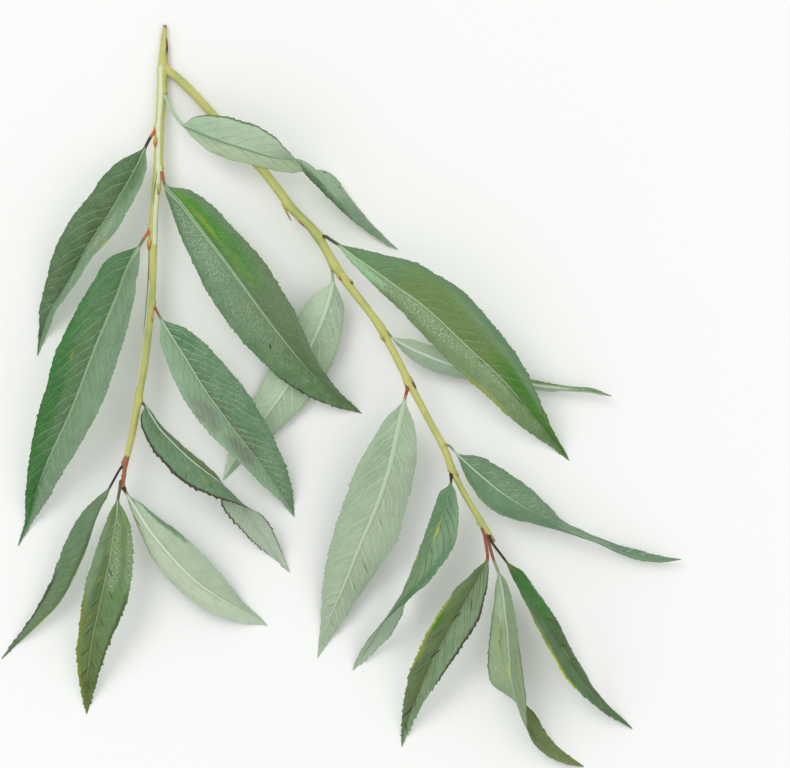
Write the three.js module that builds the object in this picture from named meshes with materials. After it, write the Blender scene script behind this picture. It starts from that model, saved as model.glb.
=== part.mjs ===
// Willow branch: a forked leafy shoot laid flat, as picked.
// Millimetres, +Z up. The origin is the middle of the box that the branch
// fills, at the level of the surface it lies on. +Y is the cut end.
import * as THREE from 'three';

// ---- driving dimensions (mm) ----
const SHIFT_X = 0.293;            // places the origin in the middle of the box
const SHIFT_Y = 0.131;
const STEM_SIDES = 8;           // faces round a stem
const MAIN_STEPS = 34;          // sections along the main stem
const SIDE_STEPS = 34;          // sections along the side shoot
const BLADE_STEPS = 19;         // sections along a leaf blade
const TWIST_STEPS = 24;         // sections along a blade that turns over
const PETIOLE_STEPS = 3;        // sections along a leaf stalk
const GAP = 0.34;               // clearance between a stalk, bud or shoot and the stem that bears it
const BLADE_HALF = 0.2;         // half the thickness of a blade between its veins
const RIB_BACK = 0.52;          // how far the midrib stands out on the underside
const RIB_FACE = 0.16;          // half thickness at the midrib on the upper side
const BUD_SIDES = 7;

// ---- colours ----
const OLIVE_BARK = 0xb9bd70, LEAF_GREEN = 0x5f8a58, LEAF_PALE = 0xa9bfa2, BUD_RED = 0xb06a3c;

// the main stem, from the cut end to the tip: x, y, z, radius
const MAIN = [
  [-61.64, 129.5, 1.2, 0.59],
  [-61.85, 127.93, 1.2, 0.8],
  [-62.13, 125.48, 1.2, 0.98],
  [-62.2, 122.33, 1.25, 1.22],
  [-62.4, 118.82, 1.45, 1.43],
  [-62.52, 115.3, 1.7, 1.65],
  [-62.65, 111.79, 2, 1.68],
  [-62.68, 106.85, 2.6, 1.68],
  [-62.92, 101.57, 3.3, 1.72],
  [-63.31, 96.28, 4, 1.61],
  [-63.51, 91.36, 4.7, 1.72],
  [-63.58, 85.74, 5.4, 1.68],
  [-63.68, 80.47, 6.1, 1.68],
  [-64.2, 75.21, 6.8, 1.61],
  [-64.65, 69.95, 7.5, 1.54],
  [-65.03, 64.7, 8.1, 1.5],
  [-65.34, 59.46, 8.7, 1.54],
  [-65.38, 54.22, 9.3, 1.54],
  [-65.55, 47.24, 10, 1.5],
  [-65.72, 40.27, 10.6, 1.54],
  [-66.11, 33.31, 11.2, 1.57],
  [-66.64, 27.05, 11.6, 1.57],
  [-67.31, 20.1, 12, 1.54],
  [-68.2, 12.46, 12.3, 1.47],
  [-69.3, 5.52, 12.4, 1.4],
  [-70.41, -1.08, 12.4, 1.36],
  [-71.54, -8.02, 12.1, 1.29],
  [-72.95, -14.97, 11.7, 1.19],
  [-74.16, -20.19, 11.3, 1.08],
  [-75.01, -23.66, 11, 0.91],
  [-75.31, -26.45, 10.7, 0.73],
  [-75.75, -29.58, 10.4, 0.73],
  [-76.04, -32.37, 10.1, 0.63],
];

// the side shoot, from the fork to its tip: x, y, z, radius
const SIDE = [
  [-61.32, 114.07, 1.9, 1.65],
  [-59.57, 112.83, 2.1, 1.5],
  [-56.74, 110.52, 2.6, 1.47],
  [-52.87, 106.81, 3.2, 1.5],
  [-48.3, 101.87, 4, 1.5],
  [-43.72, 96.76, 4.8, 1.5],
  [-38.81, 91.3, 5.6, 1.5],
  [-33.9, 85.85, 6.5, 1.5],
  [-30.04, 81.28, 7.3, 1.5],
  [-26.53, 77.59, 8, 1.54],
  [-23.38, 73.55, 8.7, 1.57],
  [-20.4, 69.52, 9.4, 1.61],
  [-17.78, 65.84, 10, 1.68],
  [-14.29, 62.34, 10.6, 1.5],
  [-10.8, 58.84, 11.2, 1.57],
  [-8.01, 55.35, 11.8, 1.72],
  [-5.57, 51.17, 12.3, 1.5],
  [-3.14, 46.81, 12.8, 1.65],
  [-0.36, 42.64, 13.2, 1.54],
  [3.12, 37.77, 13.6, 1.36],
  [6.94, 32.91, 14, 1.33],
  [10.41, 28.4, 14.3, 1.33],
  [13.35, 24.23, 14.5, 1.47],
  [15.61, 20.07, 14.6, 1.29],
  [18.03, 15.57, 14.7, 1.29],
  [20.63, 10.54, 14.7, 1.33],
  [23.06, 5.52, 14.6, 1.4],
  [25.48, 1.01, 14.5, 1.22],
  [28.26, -4.19, 14.3, 1.22],
  [31.21, -9.74, 14.1, 1.19],
  [34.33, -15.29, 13.8, 1.22],
  [36.59, -19.98, 13.5, 1.26],
  [38.33, -24.84, 13.2, 1.26],
  [40.41, -29.35, 12.9, 1.05],
  [43.02, -34.39, 12.6, 1.05],
  [45.8, -39.09, 12.2, 1.05],
  [48.41, -43.27, 11.9, 1.08],
  [50.33, -46.23, 11.6, 0.98],
  [51.9, -48.49, 11.4, 0.73],
  [53.29, -50.41, 11.2, 0.45],
];

// each leaf: its stalk's points and radius, then its blade's rows; under = its pale underside is up at the base
const LEAVES = {
  main_leaf_1: { under: false, turns: false, arch: 0.05, r: 0.56,
    stalk: [[-63.7, 93.46, 4.5], [-65.48, 91.65, 5.6], [-66.84, 89.52, 6.3], [-68.19, 86.69, 7]],
    blade: [
      [-68.19, 86.69, 7, 0.58, 14.9, 0.58, 14.9],
      [-71.6, 79.18, 8.58, 5.99, 14.9, 5.09, 38.4],
      [-75.54, 71.97, 9.92, 8.58, 14.9, 7.05, 42.1],
      [-79.66, 64.88, 10.75, 9.22, 14.9, 7.54, 42.6],
      [-84.1, 57.99, 10.75, 10.21, 14.9, 8.01, 47],
      [-88.66, 51.17, 9.86, 9.9, 14.9, 7.12, 55.7],
      [-92.58, 43.95, 8.28, 9.27, 14.9, 6.3, 61.4],
      [-96.96, 36.95, 6.21, 6.79, 14.9, 4.8, 57.4],
      [-101.52, 30.05, 3.8, 4.09, 14.9, 3.16, 48.4],
      [-104.56, 22.36, 1.19, 1.51, 36.3, 1.74, 14.9],
      [-106.35, 14.29, -1.5, 0.18, 14.9, 0.18, 14.9],
    ] },
  main_leaf_2: { under: false, turns: false, arch: 0.05, r: 0.56,
    stalk: [[-65.37, 58.06, 8.8], [-67.15, 56.63, 9.9], [-68.5, 54.7, 10.6], [-69.85, 52.41, 11.3]],
    blade: [
      [-69.85, 52.41, 11.3, 0.58, 14.9, 0.58, 14.9],
      [-74.14, 44.12, 13.09, 7.78, 14.9, 6.05, 47.9],
      [-77.32, 35.32, 14.63, 9.81, 14.9, 8.17, 40.7],
      [-80.86, 26.66, 15.87, 11.18, 14.9, 9.7, 36],
      [-84.45, 18.04, 16.48, 11.94, 14.9, 10.62, 33.1],
      [-87.88, 9.33, 16.19, 12.47, 14.9, 11.19, 31.9],
      [-91.22, 0.56, 15.05, 11.4, 14.9, 10.53, 28.3],
      [-94.96, -8.1, 13, 10.58, 14.9, 9.7, 29.3],
      [-99.22, -16.59, 10.4, 8.51, 14.9, 8.2, 22],
      [-103.27, -25.22, 7.53, 6.15, 25.5, 6.53, 14.9],
      [-106.72, -34.15, 4.43, 4.13, 41.1, 4.99, 14.9],
      [-109.25, -43.4, 1.3, 1.55, 20.6, 1.59, 14.9],
      [-113.03, -52.29, -1.8, 0.18, 14.9, 0.18, 14.9],
    ] },
  main_leaf_3: { under: false, turns: false, arch: 0.05, r: 0.56,
    stalk: [[-63.74, 79.42, 6.2], [-62.42, 77.09, 7.4], [-61.49, 73.73, 8.6]],
    blade: [
      [-61.49, 73.73, 8.6, 0.58, -14.9, 0.58, 14.9],
      [-55.71, 66.86, 11.29, 5.42, -32, 6.04, 14.9],
      [-50.25, 59.78, 13.91, 8.24, -26.5, 8.81, 14.9],
      [-44.79, 52.74, 16.32, 9.55, -16.5, 9.62, 14.9],
      [-39.37, 45.75, 18.19, 11.41, -14.9, 10.98, 22.2],
      [-34.17, 38.65, 19.46, 12.28, -14.9, 11.81, 22.4],
      [-28.98, 31.6, 19.89, 12.38, -14.9, 11.45, 28],
      [-23.76, 24.62, 19.11, 12.11, -14.9, 10.84, 32.4],
      [-18.42, 17.77, 17.14, 11.09, -14.9, 9.16, 41.6],
      [-12.89, 11.05, 13.89, 9.97, -14.9, 7.25, 54.6],
      [-7.1, 4.52, 9.52, 7.08, -14.9, 5.18, 54],
      [-0.6, -1.35, 4.51, 3.46, -14.9, 2.69, 47.9],
      [6.82, -6.02, -0.6, 0.18, -14.9, 0.18, 14.9],
    ] },
  main_leaf_4: { under: false, turns: false, arch: 0.05, r: 0.42,
    stalk: [[-66.18, 32.27, 11.2], [-64.54, 30.35, 11.9], [-63.54, 28.6, 12.4], [-62.65, 27.03, 12.8]],
    blade: [
      [-62.65, 27.03, 12.8, 0.43, 14.9, 0.43, 14.9],
      [-58.66, 20.56, 14.35, 5.04, 32.4, 5.64, 14.9],
      [-54.58, 14.17, 15.58, 7.48, 35.4, 8.57, 14.9],
      [-50.64, 7.72, 16.35, 8.95, 37.7, 10.47, 14.9],
      [-46.65, 1.33, 16.44, 9.86, 39.2, 11.68, 14.9],
      [-42.23, -4.75, 15.69, 10.03, 40.4, 12.03, 14.9],
      [-37.87, -10.86, 14.19, 9.25, 44.1, 11.46, 14.9],
      [-33.27, -16.81, 11.92, 8.14, 46.7, 10.34, 14.9],
      [-28.66, -22.75, 8.97, 6.64, 47, 8.47, 14.9],
      [-24.31, -28.95, 5.55, 5.11, 47.2, 6.53, 14.9],
      [-20.03, -35.24, 2.07, 2.76, 46.7, 3.51, 14.9],
      [-16.65, -42.11, -1.2, 0.18, 14.9, 0.18, 14.9],
    ] },
  main_leaf_5: { under: false, turns: true, arch: 0.03, r: 0.45,
    stalk: [[-70.55, -1.77, 12.4], [-69.21, -2.29, 12.7], [-68.18, -3.16, 13.2]],
    blade: [
      [-68.18, -3.16, 13.2, 0.99, 50.3, 0.98, -55],
      [-65.84, -6.61, 14.6, 4.44, 30, 3.97, -79.9],
      [-63.02, -10.94, 15.6, 6.34, 28, 5.66, -79.3],
      [-59.52, -14.74, 16.2, 7.42, 23.1, 6.58, -79.3],
      [-55.7, -18.54, 16.4, 7.94, 22.3, 7.05, -78.6],
      [-51.56, -22.36, 16.2, 8.29, 21.8, 7.4, -76.3],
      [-47.08, -26, 15.6, 8.19, 31.3, 7.4, -76.3],
      [-42.97, -29.14, 14.6, 7.83, 44.3, 7.15, -81.6],
      [-39.03, -32.47, 13.4, 7.37, 61.6, 6.84, -107.9],
      [-35.62, -36.15, 11.8, 6.54, 90, 6.54, -164.3],
      [-32.57, -40.56, 9.6, 5.95, 124, 6.07, -168.6],
      [-29.52, -45.16, 7.2, 5.21, 143.8, 5.35, -168.6],
      [-26.45, -49.77, 4.8, 4.17, 147.2, 4.28, -168.6],
      [-23.56, -54.23, 2.4, 2.68, 156.2, 2.68, -156.2],
      [-20.81, -58.15, 0.6, 1.49, 145.4, 1.49, -145.4],
      [-18.39, -61.53, -0.8, 0.24, 151.9, 0.24, -151.9],
    ] },
  main_leaf_6: { under: false, turns: false, arch: 0.05, r: 0.42,
    stalk: [[-74.94, -23.49, 11], [-76.63, -25.22, 11.2], [-78.36, -28.17, 11.4], [-80.25, -31.64, 11.6]],
    blade: [
      [-80.25, -31.64, 11.6, 0.43, -14.9, 0.43, -14.9],
      [-83.26, -37.34, 11.96, 2.91, -14.9, 1.81, -70.1],
      [-85.85, -43.25, 12.17, 5.4, -14.9, 3.01, -81.7],
      [-88.08, -49.33, 12.03, 6.68, -14.9, 3.8, -79.3],
      [-90.52, -55.35, 11.5, 6.98, -14.9, 4.15, -74.8],
      [-93.3, -61.27, 10.49, 6.65, -14.9, 3.95, -75],
      [-96.29, -67.14, 9.04, 5.82, -14.9, 3.58, -71.3],
      [-100.01, -72.62, 7.26, 5.17, -14.9, 3.29, -68.1],
      [-104.54, -77.53, 5.21, 3.7, -14.9, 2.44, -64.5],
      [-109.26, -82.31, 2.99, 2.32, -14.9, 1.57, -61.9],
      [-114.15, -86.96, 0.69, 1.21, -14.9, 0.9, -52.7],
      [-118.8, -91.87, -1.6, 0.18, -14.9, 0.18, -14.9],
    ] },
  main_leaf_7: { under: false, turns: false, arch: 0.05, r: 0.52,
    stalk: [[-75.45, -27.84, 10.6], [-76.51, -30.28, 10.4], [-77.05, -33.06, 10.6], [-77.51, -35.82, 11]],
    blade: [
      [-77.51, -35.82, 11, 0.54, 14.9, 0.54, 14.9],
      [-78.16, -42.6, 11.92, 3.8, 44.3, 4.72, 14.9],
      [-79.27, -49.32, 12.68, 5.73, 46.5, 7.27, 14.9],
      [-80.25, -56.07, 13.16, 7.03, 42.9, 8.62, 14.9],
      [-81.7, -62.75, 13.11, 7.85, 42.4, 9.58, 14.9],
      [-83.18, -69.48, 12.35, 7.85, 41.8, 9.53, 14.9],
      [-84.71, -76.24, 10.97, 7.11, 38.7, 8.38, 14.9],
      [-86.31, -83.05, 9.03, 6, 34.9, 6.84, 14.9],
      [-87.55, -89.97, 6.67, 5.08, 27.4, 5.47, 14.9],
      [-88.61, -96.96, 4.08, 3.72, 31.9, 4.14, 14.9],
      [-89.14, -104.02, 1.4, 2.19, 36.9, 2.55, 14.9],
      [-89.16, -111.11, -1.2, 0.18, 14.9, 0.18, 14.9],
    ] },
  main_leaf_8: { under: true, turns: false, arch: 0.05, r: 0.52,
    stalk: [[-75.9, -31.33, 10.1], [-75.33, -32.54, 10.4], [-74.57, -33.92, 10.9]],
    blade: [
      [-74.57, -33.92, 10.9, 0.54, -14.9, 0.54, -14.9],
      [-70.91, -39.69, 12.33, 2.66, -40.8, 3.19, -14.9],
      [-67.23, -45.42, 13.45, 4.48, -39.6, 5.33, -14.9],
      [-63.05, -50.8, 14.01, 6.37, -36.4, 7.36, -14.9],
      [-58.66, -55.99, 13.76, 7.37, -35.4, 8.45, -14.9],
      [-54, -60.96, 12.64, 7.73, -33.6, 8.73, -14.9],
      [-49, -65.57, 10.79, 7.45, -29.8, 8.16, -14.9],
      [-43.51, -69.58, 8.38, 6.59, -17.2, 6.66, -14.9],
      [-37.74, -73.21, 5.6, 5.22, -14.9, 4.68, -32.2],
      [-31.8, -76.6, 2.57, 3.56, -14.9, 2.67, -51.7],
      [-26.09, -80.43, -0.6, 0.18, -14.9, 0.18, -14.9],
    ] },
  main_leaf_9: { under: true, turns: true, arch: 0.03, r: 0.59,
    stalk: [[-62.74, 105.61, 2.9], [-61.26, 103.94, 4.4], [-59.66, 100.63, 7], [-57.43, 97.16, 9.6], [-54.88, 94.23, 12]],
    blade: [
      [-54.88, 94.23, 12, 1.51, -42, 1.51, 42],
      [-50.24, 91.81, 14.8, 5.38, -54.2, 5.72, 18.6],
      [-44.6, 89.43, 17, 7.85, -53, 8.32, 18.8],
      [-38.32, 87.11, 18.2, 8.77, -56, 9.34, 20.6],
      [-32.09, 85.2, 18.4, 8.71, -58.5, 9.34, 20.6],
      [-25.9, 83.34, 17.6, 8.22, -59.3, 8.64, 35.9],
      [-22.11, 82.58, 16.9, 8.23, -58.7, 8.29, 55.3],
      [-19.01, 82.29, 16.5, 8.14, -54.8, 7.73, 75.6],
      [-16.25, 82.17, 16.1, 8, -53.5, 7.29, 96.9],
      [-13.83, 81.71, 15.6, 7.84, -53.3, 7.14, 113.1],
      [-11.7, 80.71, 15, 7.66, -54.2, 6.99, 122.1],
      [-9.7, 79.29, 14.2, 7.29, -62.5, 6.78, 125.3],
      [-7.71, 77.47, 13.2, 6.68, -82.2, 6.54, 126.8],
      [-5.72, 75.38, 11.9, 6.25, -109, 6.25, 128],
      [-3.59, 73.09, 10.3, 5.95, -121.2, 5.95, 129.4],
      [-1.46, 70.74, 8.6, 5.5, -124.9, 5.5, 129.5],
      [0.82, 68.24, 6.8, 4.91, -124.8, 4.91, 128.9],
      [3.38, 65.32, 5, 4.17, -124.8, 4.17, 128.5],
      [6.85, 61.59, 2.9, 2.83, -138, 2.83, 138],
      [11.38, 57.63, 1.3, 2.08, -132.2, 2.08, 139.1],
      [15.58, 54.17, 0.2, 1.19, -139.9, 1.19, 139.9],
      [19.43, 51.41, -0.8, 0.3, -134.9, 0.3, 134.9],
    ] },
  side_leaf_1: { under: false, turns: false, arch: 0.05, r: 0.56,
    stalk: [[-7.46, 54.65, 11.9], [-5.56, 55.29, 13.4], [-3.46, 54.05, 14.4], [-1.02, 52.45, 15.4]],
    blade: [
      [-1.02, 52.45, 15.4, 0.58, -14.9, 0.58, 14.9],
      [5.83, 47.41, 17.5, 3.42, -36.1, 3.94, 14.9],
      [12.77, 42.54, 19.44, 5.86, -43.5, 7.23, 14.9],
      [19.61, 37.56, 21.12, 8.22, -49.1, 10.7, 14.9],
      [26.5, 32.69, 22.42, 9.41, -44.1, 11.66, 14.9],
      [32.95, 27.29, 22.95, 10.58, -44.5, 13.18, 14.9],
      [39.07, 21.51, 22.66, 10.57, -40.9, 12.71, 14.9],
      [45.18, 15.71, 21.58, 10.26, -36.4, 11.86, 14.9],
      [51.46, 10.05, 19.41, 9.54, -29.5, 10.43, 14.9],
      [57.47, 4.06, 16.28, 8.28, -18.3, 8.41, 14.9],
      [63.04, -2.43, 12.36, 7.24, -14.9, 6.53, 31.3],
      [68.61, -8.98, 7.88, 5.53, -14.9, 4.38, 45.9],
      [74.18, -15.6, 3.31, 2.82, -14.9, 2.15, 50.1],
      [79.5, -22.49, -1.2, 0.18, -14.9, 0.18, 14.9],
    ] },
  side_leaf_2: { under: true, turns: false, arch: 0.05, r: 0.56,
    stalk: [[-2.27, 45.42, 12.9], [-2.98, 43.03, 11.4], [-2.83, 40.28, 10.2]],
    blade: [
      [-2.83, 40.28, 10.2, 0.57, -11.4, 0.57, -11.4],
      [-4.32, 33.2, 9.65, 5.84, -11.4, 5.6, -20.7],
      [-6.69, 26.35, 8.87, 8.1, -11.4, 7.9, -17.3],
      [-9.65, 19.73, 7.87, 9.1, -16.1, 9.28, -11.4],
      [-13.02, 13.29, 6.76, 9.55, -19.7, 9.92, -11.4],
      [-16.62, 6.96, 5.65, 9.37, -16.4, 9.56, -11.4],
      [-20.57, 0.83, 4.69, 8.56, -16.7, 8.75, -11.4],
      [-24.9, -5.04, 3.9, 7.09, -18, 7.29, -11.4],
      [-29.16, -10.98, 3.12, 5.82, -17.5, 5.97, -11.4],
      [-33.41, -16.93, 2.26, 4.75, -28.6, 5.23, -11.4],
      [-37.51, -23.01, 1.27, 2.67, -11.4, 2.43, -28.4],
      [-41.29, -29.29, 0.2, 0.18, -11.4, 0.18, -11.4],
    ] },
  side_leaf_3: { under: true, turns: false, arch: 0.05, r: 0.45,
    stalk: [[13.73, 23.54, 14.5], [15.6, 22.52, 12.7], [17.16, 20.8, 11.4]],
    blade: [
      [17.16, 20.8, 11.4, 0.66, -46.8, 0.66, -46.8],
      [23.3, 16.92, 10.46, 2.96, -28.2, 3.15, -18.5],
      [29.94, 13.9, 9.43, 4.56, -30.3, 4.56, -30.1],
      [36.77, 11.28, 8.37, 5.01, -36.2, 5.12, -33.5],
      [43.8, 9.26, 7.38, 5.11, -45.1, 5.27, -41.8],
      [50.91, 7.5, 6.53, 4.75, -49.3, 4.82, -47.9],
      [58.02, 5.7, 5.94, 4.29, -49, 4.2, -51.2],
      [65.17, 4.09, 5.6, 3.33, -54.2, 3.34, -53.7],
      [72.42, 3.07, 5.39, 2.64, -56.5, 2.64, -56.5],
      [79.72, 2.48, 5.24, 1.97, -61.4, 1.9, -65.1],
      [87.02, 1.85, 5.12, 1.55, -54.5, 1.55, -54.2],
      [94.07, -0.06, 5, 0.23, -39.7, 0.23, -39.7],
    ] },
  side_leaf_4: { under: true, turns: false, arch: 0.05, r: 0.56,
    stalk: [[23.06, 4.48, 14.6], [22.99, 2.22, 15.2], [22.54, 0.67, 15.5], [22.19, -1.06, 15.8]],
    blade: [
      [22.19, -1.06, 15.8, 0.58, -14.9, 0.58, -14.9],
      [20.33, -8.71, 17.06, 5.36, -23.8, 5.63, -14.9],
      [18.67, -16.39, 17.96, 8.1, -14.9, 8.1, -15],
      [17.03, -24.08, 18.35, 10.61, -14.9, 9.93, -26.6],
      [14.73, -31.61, 18.04, 11.68, -14.9, 10.77, -28.5],
      [12.05, -39.03, 17.05, 11.55, -14.9, 10.96, -24.4],
      [8.93, -46.32, 15.47, 11.43, -18.8, 11.65, -14.9],
      [5.81, -53.65, 13.22, 10.26, -14.9, 10.22, -15.8],
      [2.93, -61.13, 10.57, 9.21, -14.9, 8.86, -22.4],
      [-0.14, -68.56, 7.74, 7.27, -14.9, 6.85, -25.6],
      [-3.29, -76.01, 4.79, 4.75, -23.2, 4.96, -14.9],
      [-5.97, -83.66, 1.87, 2.34, -40.2, 2.79, -14.9],
      [-8.24, -91.48, -1, 0.18, -14.9, 0.18, -14.9],
    ] },
  side_leaf_5: { under: false, turns: true, arch: 0.03, r: 0.49,
    stalk: [[38.43, -25.36, 13.2], [38.22, -27.6, 13.6], [38.14, -29.85, 13.9]],
    blade: [
      [38.14, -29.85, 13.9, 0.99, -50.3, 0.99, 50.3],
      [37.44, -33.3, 14.8, 3.72, -36.9, 3.61, 51],
      [36.39, -37.78, 15.5, 5.43, -49.9, 5.56, 38.2],
      [35, -42.27, 15.9, 6.53, -53.9, 6.84, 29.6],
      [33.27, -46.77, 16.1, 7.24, -59.5, 7.77, 22.6],
      [31.54, -51.27, 16, 7.36, -62.2, 7.89, 27.5],
      [29.46, -55.79, 15.6, 7.26, -64.3, 7.65, 41],
      [26.7, -60.33, 14.8, 6.9, -69.8, 7.36, 42.5],
      [23.93, -64.71, 13.7, 6.47, -76.9, 6.8, 57.3],
      [21.71, -67.88, 12.7, 6.15, -86.7, 6.5, 65.8],
      [19.7, -70.89, 11.6, 5.83, -113, 6.08, 74],
      [17.75, -73.9, 10.4, 5.53, -133.1, 5.67, 80.8],
      [15.73, -77.07, 9, 5.12, -152.8, 5.14, 88.4],
      [13.57, -80.51, 7.3, 4.86, -168.6, 4.58, 100.6],
      [11.26, -84.25, 5.3, 4.14, -168.6, 3.87, 113.5],
      [8.95, -88.07, 3.2, 3.07, -168.6, 2.86, 122.6],
      [6.69, -91.83, 1.2, 1.78, -168.6, 1.78, 128.9],
      [4.19, -95.85, -0.8, 0.27, -141.7, 0.27, 141.7],
    ] },
  side_leaf_6: { under: false, turns: false, arch: 0.05, r: 0.39,
    stalk: [[36.58, -16.33, 13.8], [37.61, -17.36, 14.6], [38.99, -18.91, 15.2]],
    blade: [
      [38.99, -18.91, 15.2, 0.83, -62.2, 0.83, -62.2],
      [43.91, -23.66, 16.35, 4.59, -50.3, 4.72, -27.1],
      [49.08, -28.15, 17.07, 7.09, -39.5, 7.16, -30.5],
      [54.35, -32.53, 17.28, 8.48, -37.2, 8.5, -34.6],
      [60.02, -36.42, 16.86, 9.07, -43.5, 9.11, -39.9],
      [65.96, -39.95, 15.62, 8.39, -53.5, 8.51, -44.1],
      [72.1, -43.21, 13.97, 7.09, -63.7, 7.21, -53],
      [78.41, -46.17, 12.23, 5.55, -72.4, 5.57, -70.1],
      [84.9, -48.74, 10.41, 4.28, -74.4, 4.31, -70.9],
      [91.4, -51.31, 8.75, 3.85, -74.5, 3.88, -69.6],
      [97.83, -54.05, 7.4, 3.51, -68.8, 3.55, -61.6],
      [104.51, -56.09, 6.18, 3.2, -61.5, 3.26, -51.3],
      [111.4, -57.2, 5.08, 2.24, -60, 2.27, -49.9],
      [118.37, -57.12, 4.2, 0.3, -54.5, 0.3, -54.5],
    ] },
  side_leaf_7: { under: false, turns: false, arch: 0.05, r: 0.56,
    stalk: [[48.76, -43.79, 11.9], [49.71, -47.97, 11.4], [50.43, -52.13, 11.6], [50.8, -56.62, 12.2]],
    blade: [
      [50.8, -56.62, 12.2, 0.58, 14.9, 0.58, 14.9],
      [47.87, -62.38, 13.45, 3.14, 37.1, 3.65, 14.9],
      [44.77, -68.06, 14.37, 5.36, 26.8, 5.74, 14.9],
      [41.57, -73.69, 14.83, 6.66, 33.5, 7.51, 14.9],
      [38.33, -79.32, 14.66, 6.86, 27.9, 7.4, 14.9],
      [35.26, -85.1, 13.74, 6.78, 19.1, 6.92, 14.9],
      [32.18, -90.91, 12.14, 6.09, 18.8, 6.21, 14.9],
      [29.37, -96.92, 9.88, 5.81, 14.9, 5.39, 27.6],
      [26.82, -103.1, 7.21, 4.7, 14.9, 4.2, 32.5],
      [24.48, -109.4, 4.41, 3.23, 14.9, 2.97, 28.9],
      [22.47, -115.84, 1.57, 1.67, 21.5, 1.73, 14.9],
      [21.18, -122.5, -1.2, 0.18, 14.9, 0.18, 14.9],
    ] },
  side_leaf_8: { under: true, turns: true, arch: 0.03, r: 0.52,
    stalk: [[50.89, -47.27, 11.5], [51.59, -51.8, 11.2], [52.76, -56.3, 11.6], [54.48, -60.95, 12.4]],
    blade: [
      [54.48, -60.95, 12.4, 1, -45.4, 1, 45.4],
      [55.85, -65.95, 13.2, 3.04, -36.4, 2.99, 45.4],
      [56.52, -71.12, 13.8, 4.54, -39.6, 4.44, 50.9],
      [57.21, -76.3, 14.2, 5.79, -32.2, 5.53, 55.3],
      [57.9, -81.15, 14.3, 6.87, -26.9, 6.44, 59.6],
      [58.25, -86.01, 14.2, 7.74, -25.3, 7.22, 61],
      [58.6, -90.88, 13.9, 8.28, -22.9, 7.72, 60.1],
      [58.96, -95.77, 13.4, 8.48, -21, 7.87, 60.7],
      [59.53, -99.62, 12.9, 8.19, -31.3, 7.72, 60.1],
      [60.31, -102.96, 12.3, 7.51, -53.4, 7.37, 61.6],
      [61.16, -105.96, 11.6, 6.86, -72.2, 6.96, 66.3],
      [62.02, -108.73, 10.8, 6.19, -96.5, 6.48, 72.4],
      [62.95, -111.45, 9.8, 5.83, -124.3, 5.98, 80.6],
      [64.1, -114.19, 8.6, 5.41, -147.2, 5.41, 92.2],
      [65.82, -116.95, 7.1, 4.94, -164.5, 4.94, 104.8],
      [68.17, -119.66, 5.5, 4.4, -162.5, 4.4, 115.4],
      [71.08, -122.23, 4, 3.75, -153.7, 3.75, 125.4],
      [74.27, -124.44, 2.7, 3.09, -142.4, 3.09, 134.5],
      [77.81, -126.46, 1.6, 2.38, -132.6, 2.38, 139.9],
      [81.36, -128.31, 0.4, 1.34, -141.7, 1.34, 141.7],
      [84.55, -129.62, -0.6, 0.27, -141.7, 0.27, 141.7],
    ] },
  side_leaf_9: { under: false, turns: false, arch: 0.05, r: 0.45,
    stalk: [[50.85, -47.1, 11.5], [52.57, -51.07, 12.2], [54.81, -54.17, 12.8], [57.05, -57.09, 13.4]],
    blade: [
      [57.05, -57.09, 13.4, 0.83, 56.9, 0.83, -56.9],
      [60.4, -62.13, 14.47, 2.98, 67, 3.16, -23],
      [63.64, -67.24, 15.31, 4.49, 66, 4.64, -44.2],
      [66.87, -72.38, 15.8, 5.49, 64.8, 5.64, -46.9],
      [70.04, -77.58, 15.82, 6.2, 62.2, 6.32, -49.1],
      [73.15, -82.88, 15.12, 6.44, 58.7, 6.51, -51.5],
      [76.3, -88.21, 13.83, 6.65, 58.2, 6.66, -56.8],
      [79.7, -93.44, 12.06, 6.23, 51.7, 6.16, -58.6],
      [83.39, -98.53, 9.82, 5.72, 53.2, 5.65, -61.8],
      [87.55, -103.31, 7.28, 4.74, 53.9, 4.62, -69.7],
      [92.01, -107.85, 4.51, 3.46, 49.7, 3.33, -73.1],
      [96.96, -111.89, 1.64, 2, 37.5, 1.86, -82.3],
      [101.57, -116.37, -1.2, 0.3, 54.5, 0.3, -54.5],
    ] },
};

// buds and spurs on the stems
const BUDS = {
  fork_spur: { on: 'main', at: 12.13, side: 1, round: 20, length: 9, width: 1.1, lean: 0.02, back: true },
  main_bud_1: { on: 'main', at: 39.83, side: -1, round: 54, length: 3.6, width: 1.5, lean: 0.16, back: false },
  main_bud_2: { on: 'main', at: 75.64, side: -1, round: 48, length: 4, width: 1.6, lean: 0.16, back: false },
  main_bud_3: { on: 'main', at: 56.59, side: 1, round: 56, length: 3.8, width: 1.5, lean: 0.16, back: false },
  main_bud_4: { on: 'main', at: 101.95, side: 1, round: 46, length: 2.6, width: 1.2, lean: 0.12, back: false },
  side_spur: { on: 'side', at: 64.52, side: -1, round: 14, length: 6.4, width: 0.9, lean: 0.32, back: false },
  side_bud_1: { on: 'side', at: 70.89, side: -1, round: 22, length: 5, width: 1, lean: 0.03, back: false },
  side_bud_2: { on: 'side', at: 94.54, side: -1, round: 50, length: 3.2, width: 1.2, lean: 0.1, back: false },
  side_bud_3: { on: 'side', at: 98.94, side: 1, round: 30, length: 2.2, width: 1.1, lean: 0.1, back: false },
  side_bud_4: { on: 'side', at: 120.88, side: -1, round: 45, length: 3, width: 1.3, lean: 0.06, back: false },
  side_bud_5: { on: 'side', at: 139.63, side: 1, round: 30, length: 4.8, width: 1.3, lean: 0.06, back: false },
  side_bud_6: { on: 'side', at: 174.68, side: 1, round: 50, length: 2.4, width: 1.1, lean: 0.1, back: false },
};

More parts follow.
